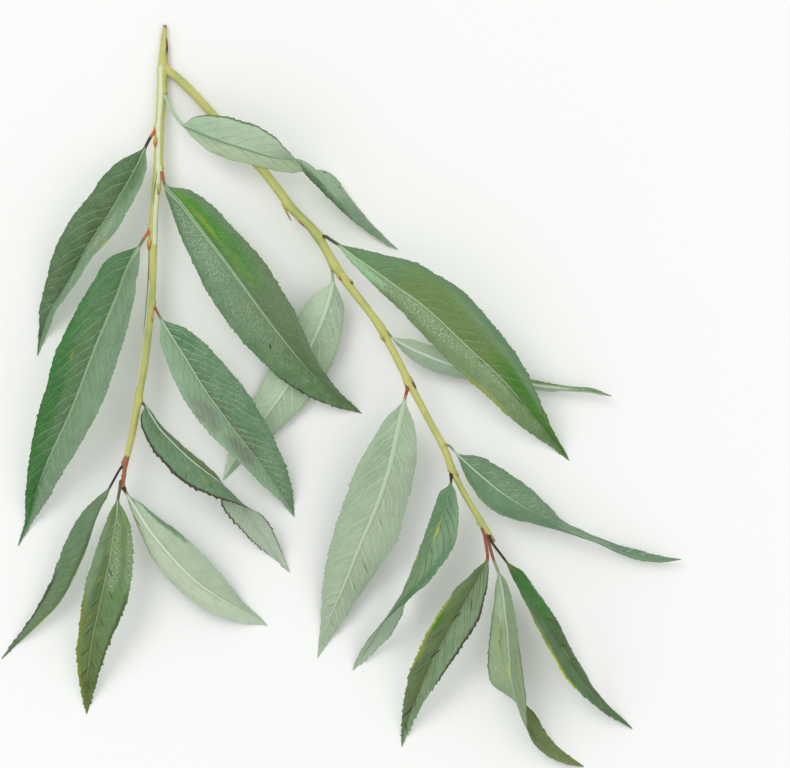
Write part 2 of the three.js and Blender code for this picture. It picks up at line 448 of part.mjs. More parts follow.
// ---- curves ----
// a smooth curve through rows of numbers; the first three are x, y, z
function spline(rows) {
  const t = [0];
  for (let i = 1; i < rows.length; i++) {
    const a = rows[i - 1], b = rows[i];
    t.push(t[i - 1] + Math.hypot(b[0] - a[0], b[1] - a[1], b[2] - a[2]));
  }
  const n = rows.length, m = rows.map((r, i) => r.map((_, k) => {
    const slope = j => (rows[j + 1][k] - rows[j][k]) / (t[j + 1] - t[j]);
    if (i === 0) return slope(0);
    if (i === n - 1) return slope(n - 2);
    const d0 = t[i] - t[i - 1], d1 = t[i + 1] - t[i];
    return (slope(i - 1) * d1 + slope(i) * d0) / (d0 + d1);
  }));
  const at = s => {
    let i = 0;
    while (i < n - 2 && s > t[i + 1]) i++;
    const h = t[i + 1] - t[i], u = (s - t[i]) / h, u2 = u * u, u3 = u2 * u;
    return rows[i].map((_, k) => (2 * u3 - 3 * u2 + 1) * rows[i][k] + (u3 - 2 * u2 + u) * h * m[i][k]
      + (3 * u2 - 2 * u3) * rows[i + 1][k] + (u3 - u2) * h * m[i + 1][k]);
  };
  return { at, length: t[n - 1], knots: t };
}

// the direction of the curve at s, and the level and upright directions across it
function axes(c, s) {
  const a = c.at(Math.max(0, s - 0.6)), b = c.at(Math.min(c.length, s + 0.6));
  const T = new THREE.Vector3(b[0] - a[0], b[1] - a[1], b[2] - a[2]).normalize();
  const N = new THREE.Vector3(-T.y, T.x, 0).normalize();
  return { T, N, U: new THREE.Vector3().crossVectors(T, N) };
}

// a closed solid through rings of equally many points, with a flat cap at each end
function loft(rings) {
  const n = rings[0].length, pos = [], idx = [];
  for (const ring of rings) for (const p of ring) pos.push(p.x, p.y, p.z);
  for (let i = 0; i < rings.length - 1; i++) for (let k = 0; k < n; k++) {
    const a = i * n + k, b = i * n + (k + 1) % n, c = a + n, d = b + n;
    // both faces of a blade split their quads the same way, so a turning blade never crosses itself
    if (k >= n / 4 && k < 3 * n / 4) idx.push(a, b, c, b, d, c);
    else idx.push(a, b, d, a, d, c);
  }
  for (let k = 1; k < n - 1; k++) {
    idx.push(0, k + 1, k);
    const e = (rings.length - 1) * n;
    idx.push(e, e + k, e + k + 1);
  }
  let vol = 0;
  const P = i => new THREE.Vector3(pos[3 * i], pos[3 * i + 1], pos[3 * i + 2]);
  for (let i = 0; i < idx.length; i += 3) vol += P(idx[i]).dot(P(idx[i + 1]).clone().cross(P(idx[i + 2])));
  if (vol < 0) for (let i = 0; i < idx.length; i += 3) [idx[i + 1], idx[i + 2]] = [idx[i + 2], idx[i + 1]];
  const g = new THREE.BufferGeometry();
  g.setAttribute('position', new THREE.Float32BufferAttribute(pos, 3));
  g.setIndex(idx);
  g.computeVertexNormals();
  return g;
}

// lifts a ring that would go below the surface until it lies on it
function rest(ring) {
  const low = Math.min(...ring.map(p => p.z));
  if (low < 0) for (const p of ring) p.z -= low;
  return ring;
}

// ---- stems ----
const mainCurve = spline(MAIN), sideCurve = spline(SIDE);

function stem(curve, from, steps) {
  const rings = [];
  for (let i = 0; i <= steps; i++) {
    const s = from + (curve.length - from) * i / steps, [x, y, z, r] = curve.at(s), { N, U } = axes(curve, s);
    const ring = [];
    for (let k = 0; k < STEM_SIDES; k++) {
      const a = 2 * Math.PI * (k + 0.5) / STEM_SIDES;
      ring.push(new THREE.Vector3(x, y, z).addScaledVector(N, r * Math.cos(a)).addScaledVector(U, r * Math.sin(a)));
    }
    rings.push(rest(ring));
  }
  return loft(rings);
}

// how far along a curve its first section stands clear of the stem that bears it
function clearOf(curve, bearer, radius) {
  for (let s = 0; s < curve.length; s += 0.05) {
    const [x, y, z] = curve.at(s), { T } = axes(curve, s);
    let best = 1e9, reach = 0;
    for (let q = 0; q <= bearer.length; q += 0.4) {
      const b = bearer.at(q), d = Math.hypot(x - b[0], y - b[1], z - b[2]);
      if (d < best) { best = d; reach = b[3] + GAP + radius * Math.abs(T.dot(axes(bearer, q).T)); }
    }
    if (best >= reach) return s;
  }
  throw new Error('curve never leaves its bearer');
}

// ---- leaves ----
// one solid: a round stalk that flattens into a blade. Each blade row is
// x, y, z, left half width, left tilt, right half width, right tilt (degrees up from level).
function leaf({ stalk, r, blade, under, arch, turns }, bearer) {
  const rows = [...stalk.slice(0, -1).map(p => [...p, r, blade[0][4] * 0.5, r, blade[0][6] * 0.5]), ...blade];
  const curve = spline(rows), from = clearOf(curve, bearer, r), join = curve.knots[stalk.length - 1];
  if (from > join - 0.8) throw new Error('no room for the stalk: ' + [from, join]);
  const stations = [];
  for (let i = 0; i < PETIOLE_STEPS; i++) stations.push(from + (join - from) * i / PETIOLE_STEPS);
  const steps = turns ? TWIST_STEPS : BLADE_STEPS;
  for (let i = 0; i <= steps; i++) stations.push(join + (curve.length - join) * i / steps);
  const rings = stations.map(s => {
    const [x, y, z, wl, al, wr, ar] = curve.at(s), { N, U } = axes(curve, s);
    const b = THREE.MathUtils.smoothstep(s, join - 1.5, join + 7);
    const end = THREE.MathUtils.clamp((curve.length - s) / 12, 0.25, 1);
    const mix = (p, q) => p + (q - p) * b;
    const half = (w, deg, side) => {
      const a = THREE.MathUtils.degToRad(deg), c = Math.cos(a), h = Math.sin(a);
      return {
        out: N.clone().multiplyScalar(side * c).addScaledVector(U, h),
        up: N.clone().multiplyScalar(-side * h).addScaledVector(U, c), w: Math.max(w, 0.25),
      };
    };
    const L = half(wl, al, -1), R = half(wr, ar, 1), up = L.up.clone().add(R.up).normalize();
    const M = new THREE.Vector3(x, y, z);
    const face = mix(r, (under ? RIB_BACK : RIB_FACE) * end), back = mix(r, (under ? RIB_FACE : RIB_BACK) * end);
    const quarter = (h, side) => M.clone().addScaledVector(h.out, h.w * mix(0.707, 0.56))
      .addScaledVector(h.up, b * arch * h.w + side * mix(0.707 * r, BLADE_HALF * end));
    const edge = h => M.clone().addScaledVector(h.out, h.w);
    return rest([M.clone().addScaledVector(up, face), quarter(L, 1), edge(L), quarter(L, -1),
      M.clone().addScaledVector(up, -back), quarter(R, -1), edge(R), quarter(R, 1)]);
  });
  return loft(rings);
}

// ---- buds and spurs ----
// a pointed bud pressed to its stem: at = distance along the stem, round = degrees up
// from level on the given side, lean = how far the tip stands off
function bud({ on, at, side, round, length, width, lean, back }) {
  const curve = on === 'main' ? mainCurve : sideCurve;
  const [x, y, z, r] = curve.at(at), { T, N, U } = axes(curve, at);
  const a = THREE.MathUtils.degToRad(round);
  const out = N.clone().multiplyScalar(side * Math.cos(a)).addScaledVector(U, Math.sin(a));
  const base = new THREE.Vector3(x, y, z).addScaledVector(out, r * 1.06 + GAP + width * 0.5);
  const dir = T.clone().multiplyScalar(back ? -1 : 1).addScaledVector(out, lean).normalize();
  const profile = [[0, 0], [0.62, 0.04], [0.94, 0.22], [1, 0.42], [0.78, 0.68], [0.4, 0.88], [0, 1]]
    .map(([p, q]) => new THREE.Vector2(p * width / 2, q * length));
  const g = new THREE.LatheGeometry(profile, BUD_SIDES);
  g.applyQuaternion(new THREE.Quaternion().setFromUnitVectors(new THREE.Vector3(0, 1, 0), dir));
  g.translate(base.x, base.y, base.z);
  return g;
}

// ---- the branch ----
const branch = new THREE.Group();
branch.position.set(SHIFT_X, SHIFT_Y, 0);

function add(name, geometry, color, roughness) {
  const mesh = new THREE.Mesh(geometry, new THREE.MeshStandardMaterial({ color, roughness, metalness: 0 }));
  mesh.name = name;
  branch.add(mesh);
}

add('main_stem', stem(mainCurve, 0, MAIN_STEPS), OLIVE_BARK, 0.6);
add('side_shoot', stem(sideCurve, clearOf(sideCurve, mainCurve, SIDE[0][3]), SIDE_STEPS), OLIVE_BARK, 0.6);
for (const [name, spec] of Object.entries(LEAVES))
  add(name, leaf(spec, name.startsWith('main') ? mainCurve : sideCurve), spec.under ? LEAF_PALE : LEAF_GREEN, 0.65);
for (const [name, spec] of Object.entries(BUDS)) add(name, bud(spec), BUD_RED, 0.6);

const object = new THREE.Group();
object.add(branch);
export default object;
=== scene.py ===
import math

import bmesh
import bpy
import numpy as np
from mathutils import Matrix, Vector


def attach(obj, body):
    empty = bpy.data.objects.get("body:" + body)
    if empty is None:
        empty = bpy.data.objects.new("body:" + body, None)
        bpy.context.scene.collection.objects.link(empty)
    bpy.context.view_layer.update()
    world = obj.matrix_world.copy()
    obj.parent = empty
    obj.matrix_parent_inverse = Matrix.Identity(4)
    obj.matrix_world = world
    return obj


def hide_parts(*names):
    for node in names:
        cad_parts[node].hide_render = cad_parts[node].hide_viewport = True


# A willow branch laid flat: every leaf, stem and bud is a fine mesh that stands where its plain solid is.
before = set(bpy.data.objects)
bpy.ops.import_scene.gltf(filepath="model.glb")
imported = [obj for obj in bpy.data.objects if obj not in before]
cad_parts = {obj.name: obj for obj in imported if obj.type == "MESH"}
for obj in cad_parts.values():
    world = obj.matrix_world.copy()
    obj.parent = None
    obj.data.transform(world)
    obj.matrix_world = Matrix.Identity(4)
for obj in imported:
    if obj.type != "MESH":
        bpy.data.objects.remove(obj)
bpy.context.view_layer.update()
MM = 0.001
SHIFT = (0.293, 0.131)     # mm, the same as in the solids
VIEW_X, VIEW_Y, VIEW_H = 18.725 + SHIFT[0], 4.13 + SHIFT[1], 1500.0   # camera, mm
FRAME_WIDTH = 790 * 0.35                                              # mm of the surface across the picture

# stems: x, y, z, radius (mm), from the thick end to the tip
MAIN = [
    (-61.64, 129.5, 1.2, 0.59),
    (-61.85, 127.93, 1.2, 0.8),
    (-62.13, 125.48, 1.2, 0.98),
    (-62.2, 122.33, 1.25, 1.22),
    (-62.4, 118.82, 1.45, 1.43),
    (-62.52, 115.3, 1.7, 1.65),
    (-62.65, 111.79, 2, 1.68),
    (-62.68, 106.85, 2.6, 1.68),
    (-62.92, 101.57, 3.3, 1.72),
    (-63.31, 96.28, 4, 1.61),
    (-63.51, 91.36, 4.7, 1.72),
    (-63.58, 85.74, 5.4, 1.68),
    (-63.68, 80.47, 6.1, 1.68),
    (-64.2, 75.21, 6.8, 1.61),
    (-64.65, 69.95, 7.5, 1.54),
    (-65.03, 64.7, 8.1, 1.5),
    (-65.34, 59.46, 8.7, 1.54),
    (-65.38, 54.22, 9.3, 1.54),
    (-65.55, 47.24, 10, 1.5),
    (-65.72, 40.27, 10.6, 1.54),
    (-66.11, 33.31, 11.2, 1.57),
    (-66.64, 27.05, 11.6, 1.57),
    (-67.31, 20.1, 12, 1.54),
    (-68.2, 12.46, 12.3, 1.47),
    (-69.3, 5.52, 12.4, 1.4),
    (-70.41, -1.08, 12.4, 1.36),
    (-71.54, -8.02, 12.1, 1.29),
    (-72.95, -14.97, 11.7, 1.19),
    (-74.16, -20.19, 11.3, 1.08),
    (-75.01, -23.66, 11, 0.91),
    (-75.31, -26.45, 10.7, 0.73),
    (-75.75, -29.58, 10.4, 0.73),
    (-76.04, -32.37, 10.1, 0.63),
]
SIDE = [
    (-61.32, 114.07, 1.9, 1.65),
    (-59.57, 112.83, 2.1, 1.5),
    (-56.74, 110.52, 2.6, 1.47),
    (-52.87, 106.81, 3.2, 1.5),
    (-48.3, 101.87, 4, 1.5),
    (-43.72, 96.76, 4.8, 1.5),
    (-38.81, 91.3, 5.6, 1.5),
    (-33.9, 85.85, 6.5, 1.5),
    (-30.04, 81.28, 7.3, 1.5),
    (-26.53, 77.59, 8, 1.54),
    (-23.38, 73.55, 8.7, 1.57),
    (-20.4, 69.52, 9.4, 1.61),
    (-17.78, 65.84, 10, 1.68),
    (-14.29, 62.34, 10.6, 1.5),
    (-10.8, 58.84, 11.2, 1.57),
    (-8.01, 55.35, 11.8, 1.72),
    (-5.57, 51.17, 12.3, 1.5),
    (-3.14, 46.81, 12.8, 1.65),
    (-0.36, 42.64, 13.2, 1.54),
    (3.12, 37.77, 13.6, 1.36),
    (6.94, 32.91, 14, 1.33),
    (10.41, 28.4, 14.3, 1.33),
    (13.35, 24.23, 14.5, 1.47),
    (15.61, 20.07, 14.6, 1.29),
    (18.03, 15.57, 14.7, 1.29),
    (20.63, 10.54, 14.7, 1.33),
    (23.06, 5.52, 14.6, 1.4),
    (25.48, 1.01, 14.5, 1.22),
    (28.26, -4.19, 14.3, 1.22),
    (31.21, -9.74, 14.1, 1.19),
    (34.33, -15.29, 13.8, 1.22),
    (36.59, -19.98, 13.5, 1.26),
    (38.33, -24.84, 13.2, 1.26),
    (40.41, -29.35, 12.9, 1.05),
    (43.02, -34.39, 12.6, 1.05),
    (45.8, -39.09, 12.2, 1.05),
    (48.41, -43.27, 11.9, 1.08),
    (50.33, -46.23, 11.6, 0.98),
    (51.9, -48.49, 11.4, 0.73),
    (53.29, -50.41, 11.2, 0.45),
]
# leaves: stalk points, then the blade's midrib points with each half's width and tilt (mm, degrees)
LEAVES = {
    "main_leaf_1": dict(r=0.56, under=False, turns=False, arch=0.05,
        stalk=[[-63.7, 93.46, 4.5], [-65.48, 91.65, 5.6], [-66.84, 89.52, 6.3], [-68.19, 86.69, 7.0]],
        blade=[
            (-68.19, 86.69, 7, 0.58, 14.9, 0.58, 14.9),
            (-71.6, 79.18, 8.58, 5.99, 14.9, 5.09, 38.4),
            (-75.54, 71.97, 9.92, 8.58, 14.9, 7.05, 42.1),
            (-79.66, 64.88, 10.75, 9.22, 14.9, 7.54, 42.6),
            (-84.1, 57.99, 10.75, 10.21, 14.9, 8.01, 47),
            (-88.66, 51.17, 9.86, 9.9, 14.9, 7.12, 55.7),
            (-92.58, 43.95, 8.28, 9.27, 14.9, 6.3, 61.4),
            (-96.96, 36.95, 6.21, 6.79, 14.9, 4.8, 57.4),
            (-101.52, 30.05, 3.8, 4.09, 14.9, 3.16, 48.4),
            (-104.56, 22.36, 1.19, 1.51, 36.3, 1.74, 14.9),
            (-106.35, 14.29, -1.5, 0.18, 14.9, 0.18, 14.9),
        ]),
    "main_leaf_2": dict(r=0.56, under=False, turns=False, arch=0.05,
        stalk=[[-65.37, 58.06, 8.8], [-67.15, 56.63, 9.9], [-68.5, 54.7, 10.6], [-69.85, 52.41, 11.3]],
        blade=[
            (-69.85, 52.41, 11.3, 0.58, 14.9, 0.58, 14.9),
            (-74.14, 44.12, 13.09, 7.78, 14.9, 6.05, 47.9),
            (-77.32, 35.32, 14.63, 9.81, 14.9, 8.17, 40.7),
            (-80.86, 26.66, 15.87, 11.18, 14.9, 9.7, 36),
            (-84.45, 18.04, 16.48, 11.94, 14.9, 10.62, 33.1),
            (-87.88, 9.33, 16.19, 12.47, 14.9, 11.19, 31.9),
            (-91.22, 0.56, 15.05, 11.4, 14.9, 10.53, 28.3),
            (-94.96, -8.1, 13, 10.58, 14.9, 9.7, 29.3),
            (-99.22, -16.59, 10.4, 8.51, 14.9, 8.2, 22),
            (-103.27, -25.22, 7.53, 6.15, 25.5, 6.53, 14.9),
            (-106.72, -34.15, 4.43, 4.13, 41.1, 4.99, 14.9),
            (-109.25, -43.4, 1.3, 1.55, 20.6, 1.59, 14.9),
            (-113.03, -52.29, -1.8, 0.18, 14.9, 0.18, 14.9),
        ]),
    "main_leaf_3": dict(r=0.56, under=False, turns=False, arch=0.05,
        stalk=[[-63.74, 79.42, 6.2], [-62.42, 77.09, 7.4], [-61.49, 73.73, 8.6]],
        blade=[
            (-61.49, 73.73, 8.6, 0.58, -14.9, 0.58, 14.9),
            (-55.71, 66.86, 11.29, 5.42, -32, 6.04, 14.9),
            (-50.25, 59.78, 13.91, 8.24, -26.5, 8.81, 14.9),
            (-44.79, 52.74, 16.32, 9.55, -16.5, 9.62, 14.9),
            (-39.37, 45.75, 18.19, 11.41, -14.9, 10.98, 22.2),
            (-34.17, 38.65, 19.46, 12.28, -14.9, 11.81, 22.4),
            (-28.98, 31.6, 19.89, 12.38, -14.9, 11.45, 28),
            (-23.76, 24.62, 19.11, 12.11, -14.9, 10.84, 32.4),
            (-18.42, 17.77, 17.14, 11.09, -14.9, 9.16, 41.6),
            (-12.89, 11.05, 13.89, 9.97, -14.9, 7.25, 54.6),
            (-7.1, 4.52, 9.52, 7.08, -14.9, 5.18, 54),
            (-0.6, -1.35, 4.51, 3.46, -14.9, 2.69, 47.9),
            (6.82, -6.02, -0.6, 0.18, -14.9, 0.18, 14.9),
        ]),
    "main_leaf_4": dict(r=0.42, under=False, turns=False, arch=0.05,
        stalk=[[-66.18, 32.27, 11.2], [-64.54, 30.35, 11.9], [-63.54, 28.6, 12.4], [-62.65, 27.03, 12.8]],
        blade=[
            (-62.65, 27.03, 12.8, 0.43, 14.9, 0.43, 14.9),
            (-58.66, 20.56, 14.35, 5.04, 32.4, 5.64, 14.9),
            (-54.58, 14.17, 15.58, 7.48, 35.4, 8.57, 14.9),
            (-50.64, 7.72, 16.35, 8.95, 37.7, 10.47, 14.9),
            (-46.65, 1.33, 16.44, 9.86, 39.2, 11.68, 14.9),
            (-42.23, -4.75, 15.69, 10.03, 40.4, 12.03, 14.9),
            (-37.87, -10.86, 14.19, 9.25, 44.1, 11.46, 14.9),
            (-33.27, -16.81, 11.92, 8.14, 46.7, 10.34, 14.9),
            (-28.66, -22.75, 8.97, 6.64, 47, 8.47, 14.9),
            (-24.31, -28.95, 5.55, 5.11, 47.2, 6.53, 14.9),
            (-20.03, -35.24, 2.07, 2.76, 46.7, 3.51, 14.9),
            (-16.65, -42.11, -1.2, 0.18, 14.9, 0.18, 14.9),
        ]),
    "main_leaf_5": dict(r=0.45, under=False, turns=True, arch=0.03,
        stalk=[[-70.55, -1.77, 12.4], [-69.21, -2.29, 12.7], [-68.18, -3.16, 13.2]],
        blade=[
            (-68.18, -3.16, 13.2, 0.99, 50.3, 0.98, -55),
            (-65.84, -6.61, 14.6, 4.44, 30, 3.97, -79.9),
            (-63.02, -10.94, 15.6, 6.34, 28, 5.66, -79.3),
            (-59.52, -14.74, 16.2, 7.42, 23.1, 6.58, -79.3),
            (-55.7, -18.54, 16.4, 7.94, 22.3, 7.05, -78.6),
            (-51.56, -22.36, 16.2, 8.29, 21.8, 7.4, -76.3),
            (-47.08, -26, 15.6, 8.19, 31.3, 7.4, -76.3),
            (-42.97, -29.14, 14.6, 7.83, 44.3, 7.15, -81.6),
            (-39.03, -32.47, 13.4, 7.37, 61.6, 6.84, -107.9),
            (-35.62, -36.15, 11.8, 6.54, 90, 6.54, -164.3),
            (-32.57, -40.56, 9.6, 5.95, 124, 6.07, -168.6),
            (-29.52, -45.16, 7.2, 5.21, 143.8, 5.35, -168.6),
            (-26.45, -49.77, 4.8, 4.17, 147.2, 4.28, -168.6),
            (-23.56, -54.23, 2.4, 2.68, 156.2, 2.68, -156.2),
            (-20.81, -58.15, 0.6, 1.49, 145.4, 1.49, -145.4),
            (-18.39, -61.53, -0.8, 0.24, 151.9, 0.24, -151.9),
        ]),
    "main_leaf_6": dict(r=0.42, under=False, turns=False, arch=0.05,
        stalk=[[-74.94, -23.49, 11.0], [-76.63, -25.22, 11.2], [-78.36, -28.17, 11.4], [-80.25, -31.64, 11.6]],
        blade=[
            (-80.25, -31.64, 11.6, 0.43, -14.9, 0.43, -14.9),
            (-83.26, -37.34, 11.96, 2.91, -14.9, 1.81, -70.1),
            (-85.85, -43.25, 12.17, 5.4, -14.9, 3.01, -81.7),
            (-88.08, -49.33, 12.03, 6.68, -14.9, 3.8, -79.3),
            (-90.52, -55.35, 11.5, 6.98, -14.9, 4.15, -74.8),
            (-93.3, -61.27, 10.49, 6.65, -14.9, 3.95, -75),
            (-96.29, -67.14, 9.04, 5.82, -14.9, 3.58, -71.3),
            (-100.01, -72.62, 7.26, 5.17, -14.9, 3.29, -68.1),
            (-104.54, -77.53, 5.21, 3.7, -14.9, 2.44, -64.5),
            (-109.26, -82.31, 2.99, 2.32, -14.9, 1.57, -61.9),
            (-114.15, -86.96, 0.69, 1.21, -14.9, 0.9, -52.7),
            (-118.8, -91.87, -1.6, 0.18, -14.9, 0.18, -14.9),
        ]),
    "main_leaf_7": dict(r=0.52, under=False, turns=False, arch=0.05,
        stalk=[[-75.45, -27.84, 10.6], [-76.51, -30.28, 10.4], [-77.05, -33.06, 10.6], [-77.51, -35.82, 11.0]],
        blade=[
            (-77.51, -35.82, 11, 0.54, 14.9, 0.54, 14.9),
            (-78.16, -42.6, 11.92, 3.8, 44.3, 4.72, 14.9),
            (-79.27, -49.32, 12.68, 5.73, 46.5, 7.27, 14.9),
            (-80.25, -56.07, 13.16, 7.03, 42.9, 8.62, 14.9),
            (-81.7, -62.75, 13.11, 7.85, 42.4, 9.58, 14.9),
            (-83.18, -69.48, 12.35, 7.85, 41.8, 9.53, 14.9),
            (-84.71, -76.24, 10.97, 7.11, 38.7, 8.38, 14.9),
            (-86.31, -83.05, 9.03, 6, 34.9, 6.84, 14.9),
            (-87.55, -89.97, 6.67, 5.08, 27.4, 5.47, 14.9),
            (-88.61, -96.96, 4.08, 3.72, 31.9, 4.14, 14.9),
            (-89.14, -104.02, 1.4, 2.19, 36.9, 2.55, 14.9),
            (-89.16, -111.11, -1.2, 0.18, 14.9, 0.18, 14.9),
        ]),
    "main_leaf_8": dict(r=0.52, under=True, turns=False, arch=0.05,
        stalk=[[-75.9, -31.33, 10.1], [-75.33, -32.54, 10.4], [-74.57, -33.92, 10.9]],
        blade=[
            (-74.57, -33.92, 10.9, 0.54, -14.9, 0.54, -14.9),
            (-70.91, -39.69, 12.33, 2.66, -40.8, 3.19, -14.9),
            (-67.23, -45.42, 13.45, 4.48, -39.6, 5.33, -14.9),
            (-63.05, -50.8, 14.01, 6.37, -36.4, 7.36, -14.9),
            (-58.66, -55.99, 13.76, 7.37, -35.4, 8.45, -14.9),
            (-54, -60.96, 12.64, 7.73, -33.6, 8.73, -14.9),
            (-49, -65.57, 10.79, 7.45, -29.8, 8.16, -14.9),
            (-43.51, -69.58, 8.38, 6.59, -17.2, 6.66, -14.9),
            (-37.74, -73.21, 5.6, 5.22, -14.9, 4.68, -32.2),
            (-31.8, -76.6, 2.57, 3.56, -14.9, 2.67, -51.7),
            (-26.09, -80.43, -0.6, 0.18, -14.9, 0.18, -14.9),
        ]),
    "main_leaf_9": dict(r=0.59, under=True, turns=True, arch=0.03,
        stalk=[[-62.74, 105.61, 2.9], [-61.26, 103.94, 4.4], [-59.66, 100.63, 7.0], [-57.43, 97.16, 9.6], [-54.88, 94.23, 12.0]],
        blade=[
            (-54.88, 94.23, 12, 1.51, -42, 1.51, 42),
            (-50.24, 91.81, 14.8, 5.38, -54.2, 5.72, 18.6),
            (-44.6, 89.43, 17, 7.85, -53, 8.32, 18.8),
            (-38.32, 87.11, 18.2, 8.77, -56, 9.34, 20.6),
            (-32.09, 85.2, 18.4, 8.71, -58.5, 9.34, 20.6),
            (-25.9, 83.34, 17.6, 8.22, -59.3, 8.64, 35.9),
            (-22.11, 82.58, 16.9, 8.23, -58.7, 8.29, 55.3),
            (-19.01, 82.29, 16.5, 8.14, -54.8, 7.73, 75.6),
            (-16.25, 82.17, 16.1, 8, -53.5, 7.29, 96.9),
            (-13.83, 81.71, 15.6, 7.84, -53.3, 7.14, 113.1),
            (-11.7, 80.71, 15, 7.66, -54.2, 6.99, 122.1),
            (-9.7, 79.29, 14.2, 7.29, -62.5, 6.78, 125.3),
            (-7.71, 77.47, 13.2, 6.68, -82.2, 6.54, 126.8),
            (-5.72, 75.38, 11.9, 6.25, -109, 6.25, 128),
            (-3.59, 73.09, 10.3, 5.95, -121.2, 5.95, 129.4),
            (-1.46, 70.74, 8.6, 5.5, -124.9, 5.5, 129.5),
            (0.82, 68.24, 6.8, 4.91, -124.8, 4.91, 128.9),
            (3.38, 65.32, 5, 4.17, -124.8, 4.17, 128.5),
            (6.85, 61.59, 2.9, 2.83, -138, 2.83, 138),
            (11.38, 57.63, 1.3, 2.08, -132.2, 2.08, 139.1),
            (15.58, 54.17, 0.2, 1.19, -139.9, 1.19, 139.9),
            (19.43, 51.41, -0.8, 0.3, -134.9, 0.3, 134.9),
        ]),
    "side_leaf_1": dict(r=0.56, under=False, turns=False, arch=0.05,
        stalk=[[-7.46, 54.65, 11.9], [-5.56, 55.29, 13.4], [-3.46, 54.05, 14.4], [-1.02, 52.45, 15.4]],
        blade=[
            (-1.02, 52.45, 15.4, 0.58, -14.9, 0.58, 14.9),
            (5.83, 47.41, 17.5, 3.42, -36.1, 3.94, 14.9),
            (12.77, 42.54, 19.44, 5.86, -43.5, 7.23, 14.9),
            (19.61, 37.56, 21.12, 8.22, -49.1, 10.7, 14.9),
            (26.5, 32.69, 22.42, 9.41, -44.1, 11.66, 14.9),
            (32.95, 27.29, 22.95, 10.58, -44.5, 13.18, 14.9),
            (39.07, 21.51, 22.66, 10.57, -40.9, 12.71, 14.9),
            (45.18, 15.71, 21.58, 10.26, -36.4, 11.86, 14.9),
            (51.46, 10.05, 19.41, 9.54, -29.5, 10.43, 14.9),
            (57.47, 4.06, 16.28, 8.28, -18.3, 8.41, 14.9),
            (63.04, -2.43, 12.36, 7.24, -14.9, 6.53, 31.3),
            (68.61, -8.98, 7.88, 5.53, -14.9, 4.38, 45.9),
            (74.18, -15.6, 3.31, 2.82, -14.9, 2.15, 50.1),
            (79.5, -22.49, -1.2, 0.18, -14.9, 0.18, 14.9),
        ]),
    "side_leaf_2": dict(r=0.56, under=True, turns=False, arch=0.05,
        stalk=[[-2.27, 45.42, 12.9], [-2.98, 43.03, 11.4], [-2.83, 40.28, 10.2]],
        blade=[
            (-2.83, 40.28, 10.2, 0.57, -11.4, 0.57, -11.4),
            (-4.32, 33.2, 9.65, 5.84, -11.4, 5.6, -20.7),
            (-6.69, 26.35, 8.87, 8.1, -11.4, 7.9, -17.3),
            (-9.65, 19.73, 7.87, 9.1, -16.1, 9.28, -11.4),
            (-13.02, 13.29, 6.76, 9.55, -19.7, 9.92, -11.4),
            (-16.62, 6.96, 5.65, 9.37, -16.4, 9.56, -11.4),
            (-20.57, 0.83, 4.69, 8.56, -16.7, 8.75, -11.4),
            (-24.9, -5.04, 3.9, 7.09, -18, 7.29, -11.4),
            (-29.16, -10.98, 3.12, 5.82, -17.5, 5.97, -11.4),
            (-33.41, -16.93, 2.26, 4.75, -28.6, 5.23, -11.4),
            (-37.51, -23.01, 1.27, 2.67, -11.4, 2.43, -28.4),
            (-41.29, -29.29, 0.2, 0.18, -11.4, 0.18, -11.4),
        ]),
    "side_leaf_3": dict(r=0.45, under=True, turns=False, arch=0.05,
        stalk=[[13.73, 23.54, 14.5], [15.6, 22.52, 12.7], [17.16, 20.8, 11.4]],
        blade=[
            (17.16, 20.8, 11.4, 0.66, -46.8, 0.66, -46.8),
            (23.3, 16.92, 10.46, 2.96, -28.2, 3.15, -18.5),
            (29.94, 13.9, 9.43, 4.56, -30.3, 4.56, -30.1),
            (36.77, 11.28, 8.37, 5.01, -36.2, 5.12, -33.5),
            (43.8, 9.26, 7.38, 5.11, -45.1, 5.27, -41.8),
            (50.91, 7.5, 6.53, 4.75, -49.3, 4.82, -47.9),
            (58.02, 5.7, 5.94, 4.29, -49, 4.2, -51.2),
            (65.17, 4.09, 5.6, 3.33, -54.2, 3.34, -53.7),
            (72.42, 3.07, 5.39, 2.64, -56.5, 2.64, -56.5),
            (79.72, 2.48, 5.24, 1.97, -61.4, 1.9, -65.1),
            (87.02, 1.85, 5.12, 1.55, -54.5, 1.55, -54.2),
            (94.07, -0.06, 5, 0.23, -39.7, 0.23, -39.7),
        ]),
    "side_leaf_4": dict(r=0.56, under=True, turns=False, arch=0.05,
        stalk=[[23.06, 4.48, 14.6], [22.99, 2.22, 15.2], [22.54, 0.67, 15.5], [22.19, -1.06, 15.8]],
        blade=[
            (22.19, -1.06, 15.8, 0.58, -14.9, 0.58, -14.9),
            (20.33, -8.71, 17.06, 5.36, -23.8, 5.63, -14.9),
            (18.67, -16.39, 17.96, 8.1, -14.9, 8.1, -15),
            (17.03, -24.08, 18.35, 10.61, -14.9, 9.93, -26.6),
            (14.73, -31.61, 18.04, 11.68, -14.9, 10.77, -28.5),
            (12.05, -39.03, 17.05, 11.55, -14.9, 10.96, -24.4),
            (8.93, -46.32, 15.47, 11.43, -18.8, 11.65, -14.9),
            (5.81, -53.65, 13.22, 10.26, -14.9, 10.22, -15.8),
            (2.93, -61.13, 10.57, 9.21, -14.9, 8.86, -22.4),
            (-0.14, -68.56, 7.74, 7.27, -14.9, 6.85, -25.6),
            (-3.29, -76.01, 4.79, 4.75, -23.2, 4.96, -14.9),
            (-5.97, -83.66, 1.87, 2.34, -40.2, 2.79, -14.9),
            (-8.24, -91.48, -1, 0.18, -14.9, 0.18, -14.9),
        ]),
    "side_leaf_5": dict(r=0.49, under=False, turns=True, arch=0.03,
        stalk=[[38.43, -25.36, 13.2], [38.22, -27.6, 13.6], [38.14, -29.85, 13.9]],
        blade=[
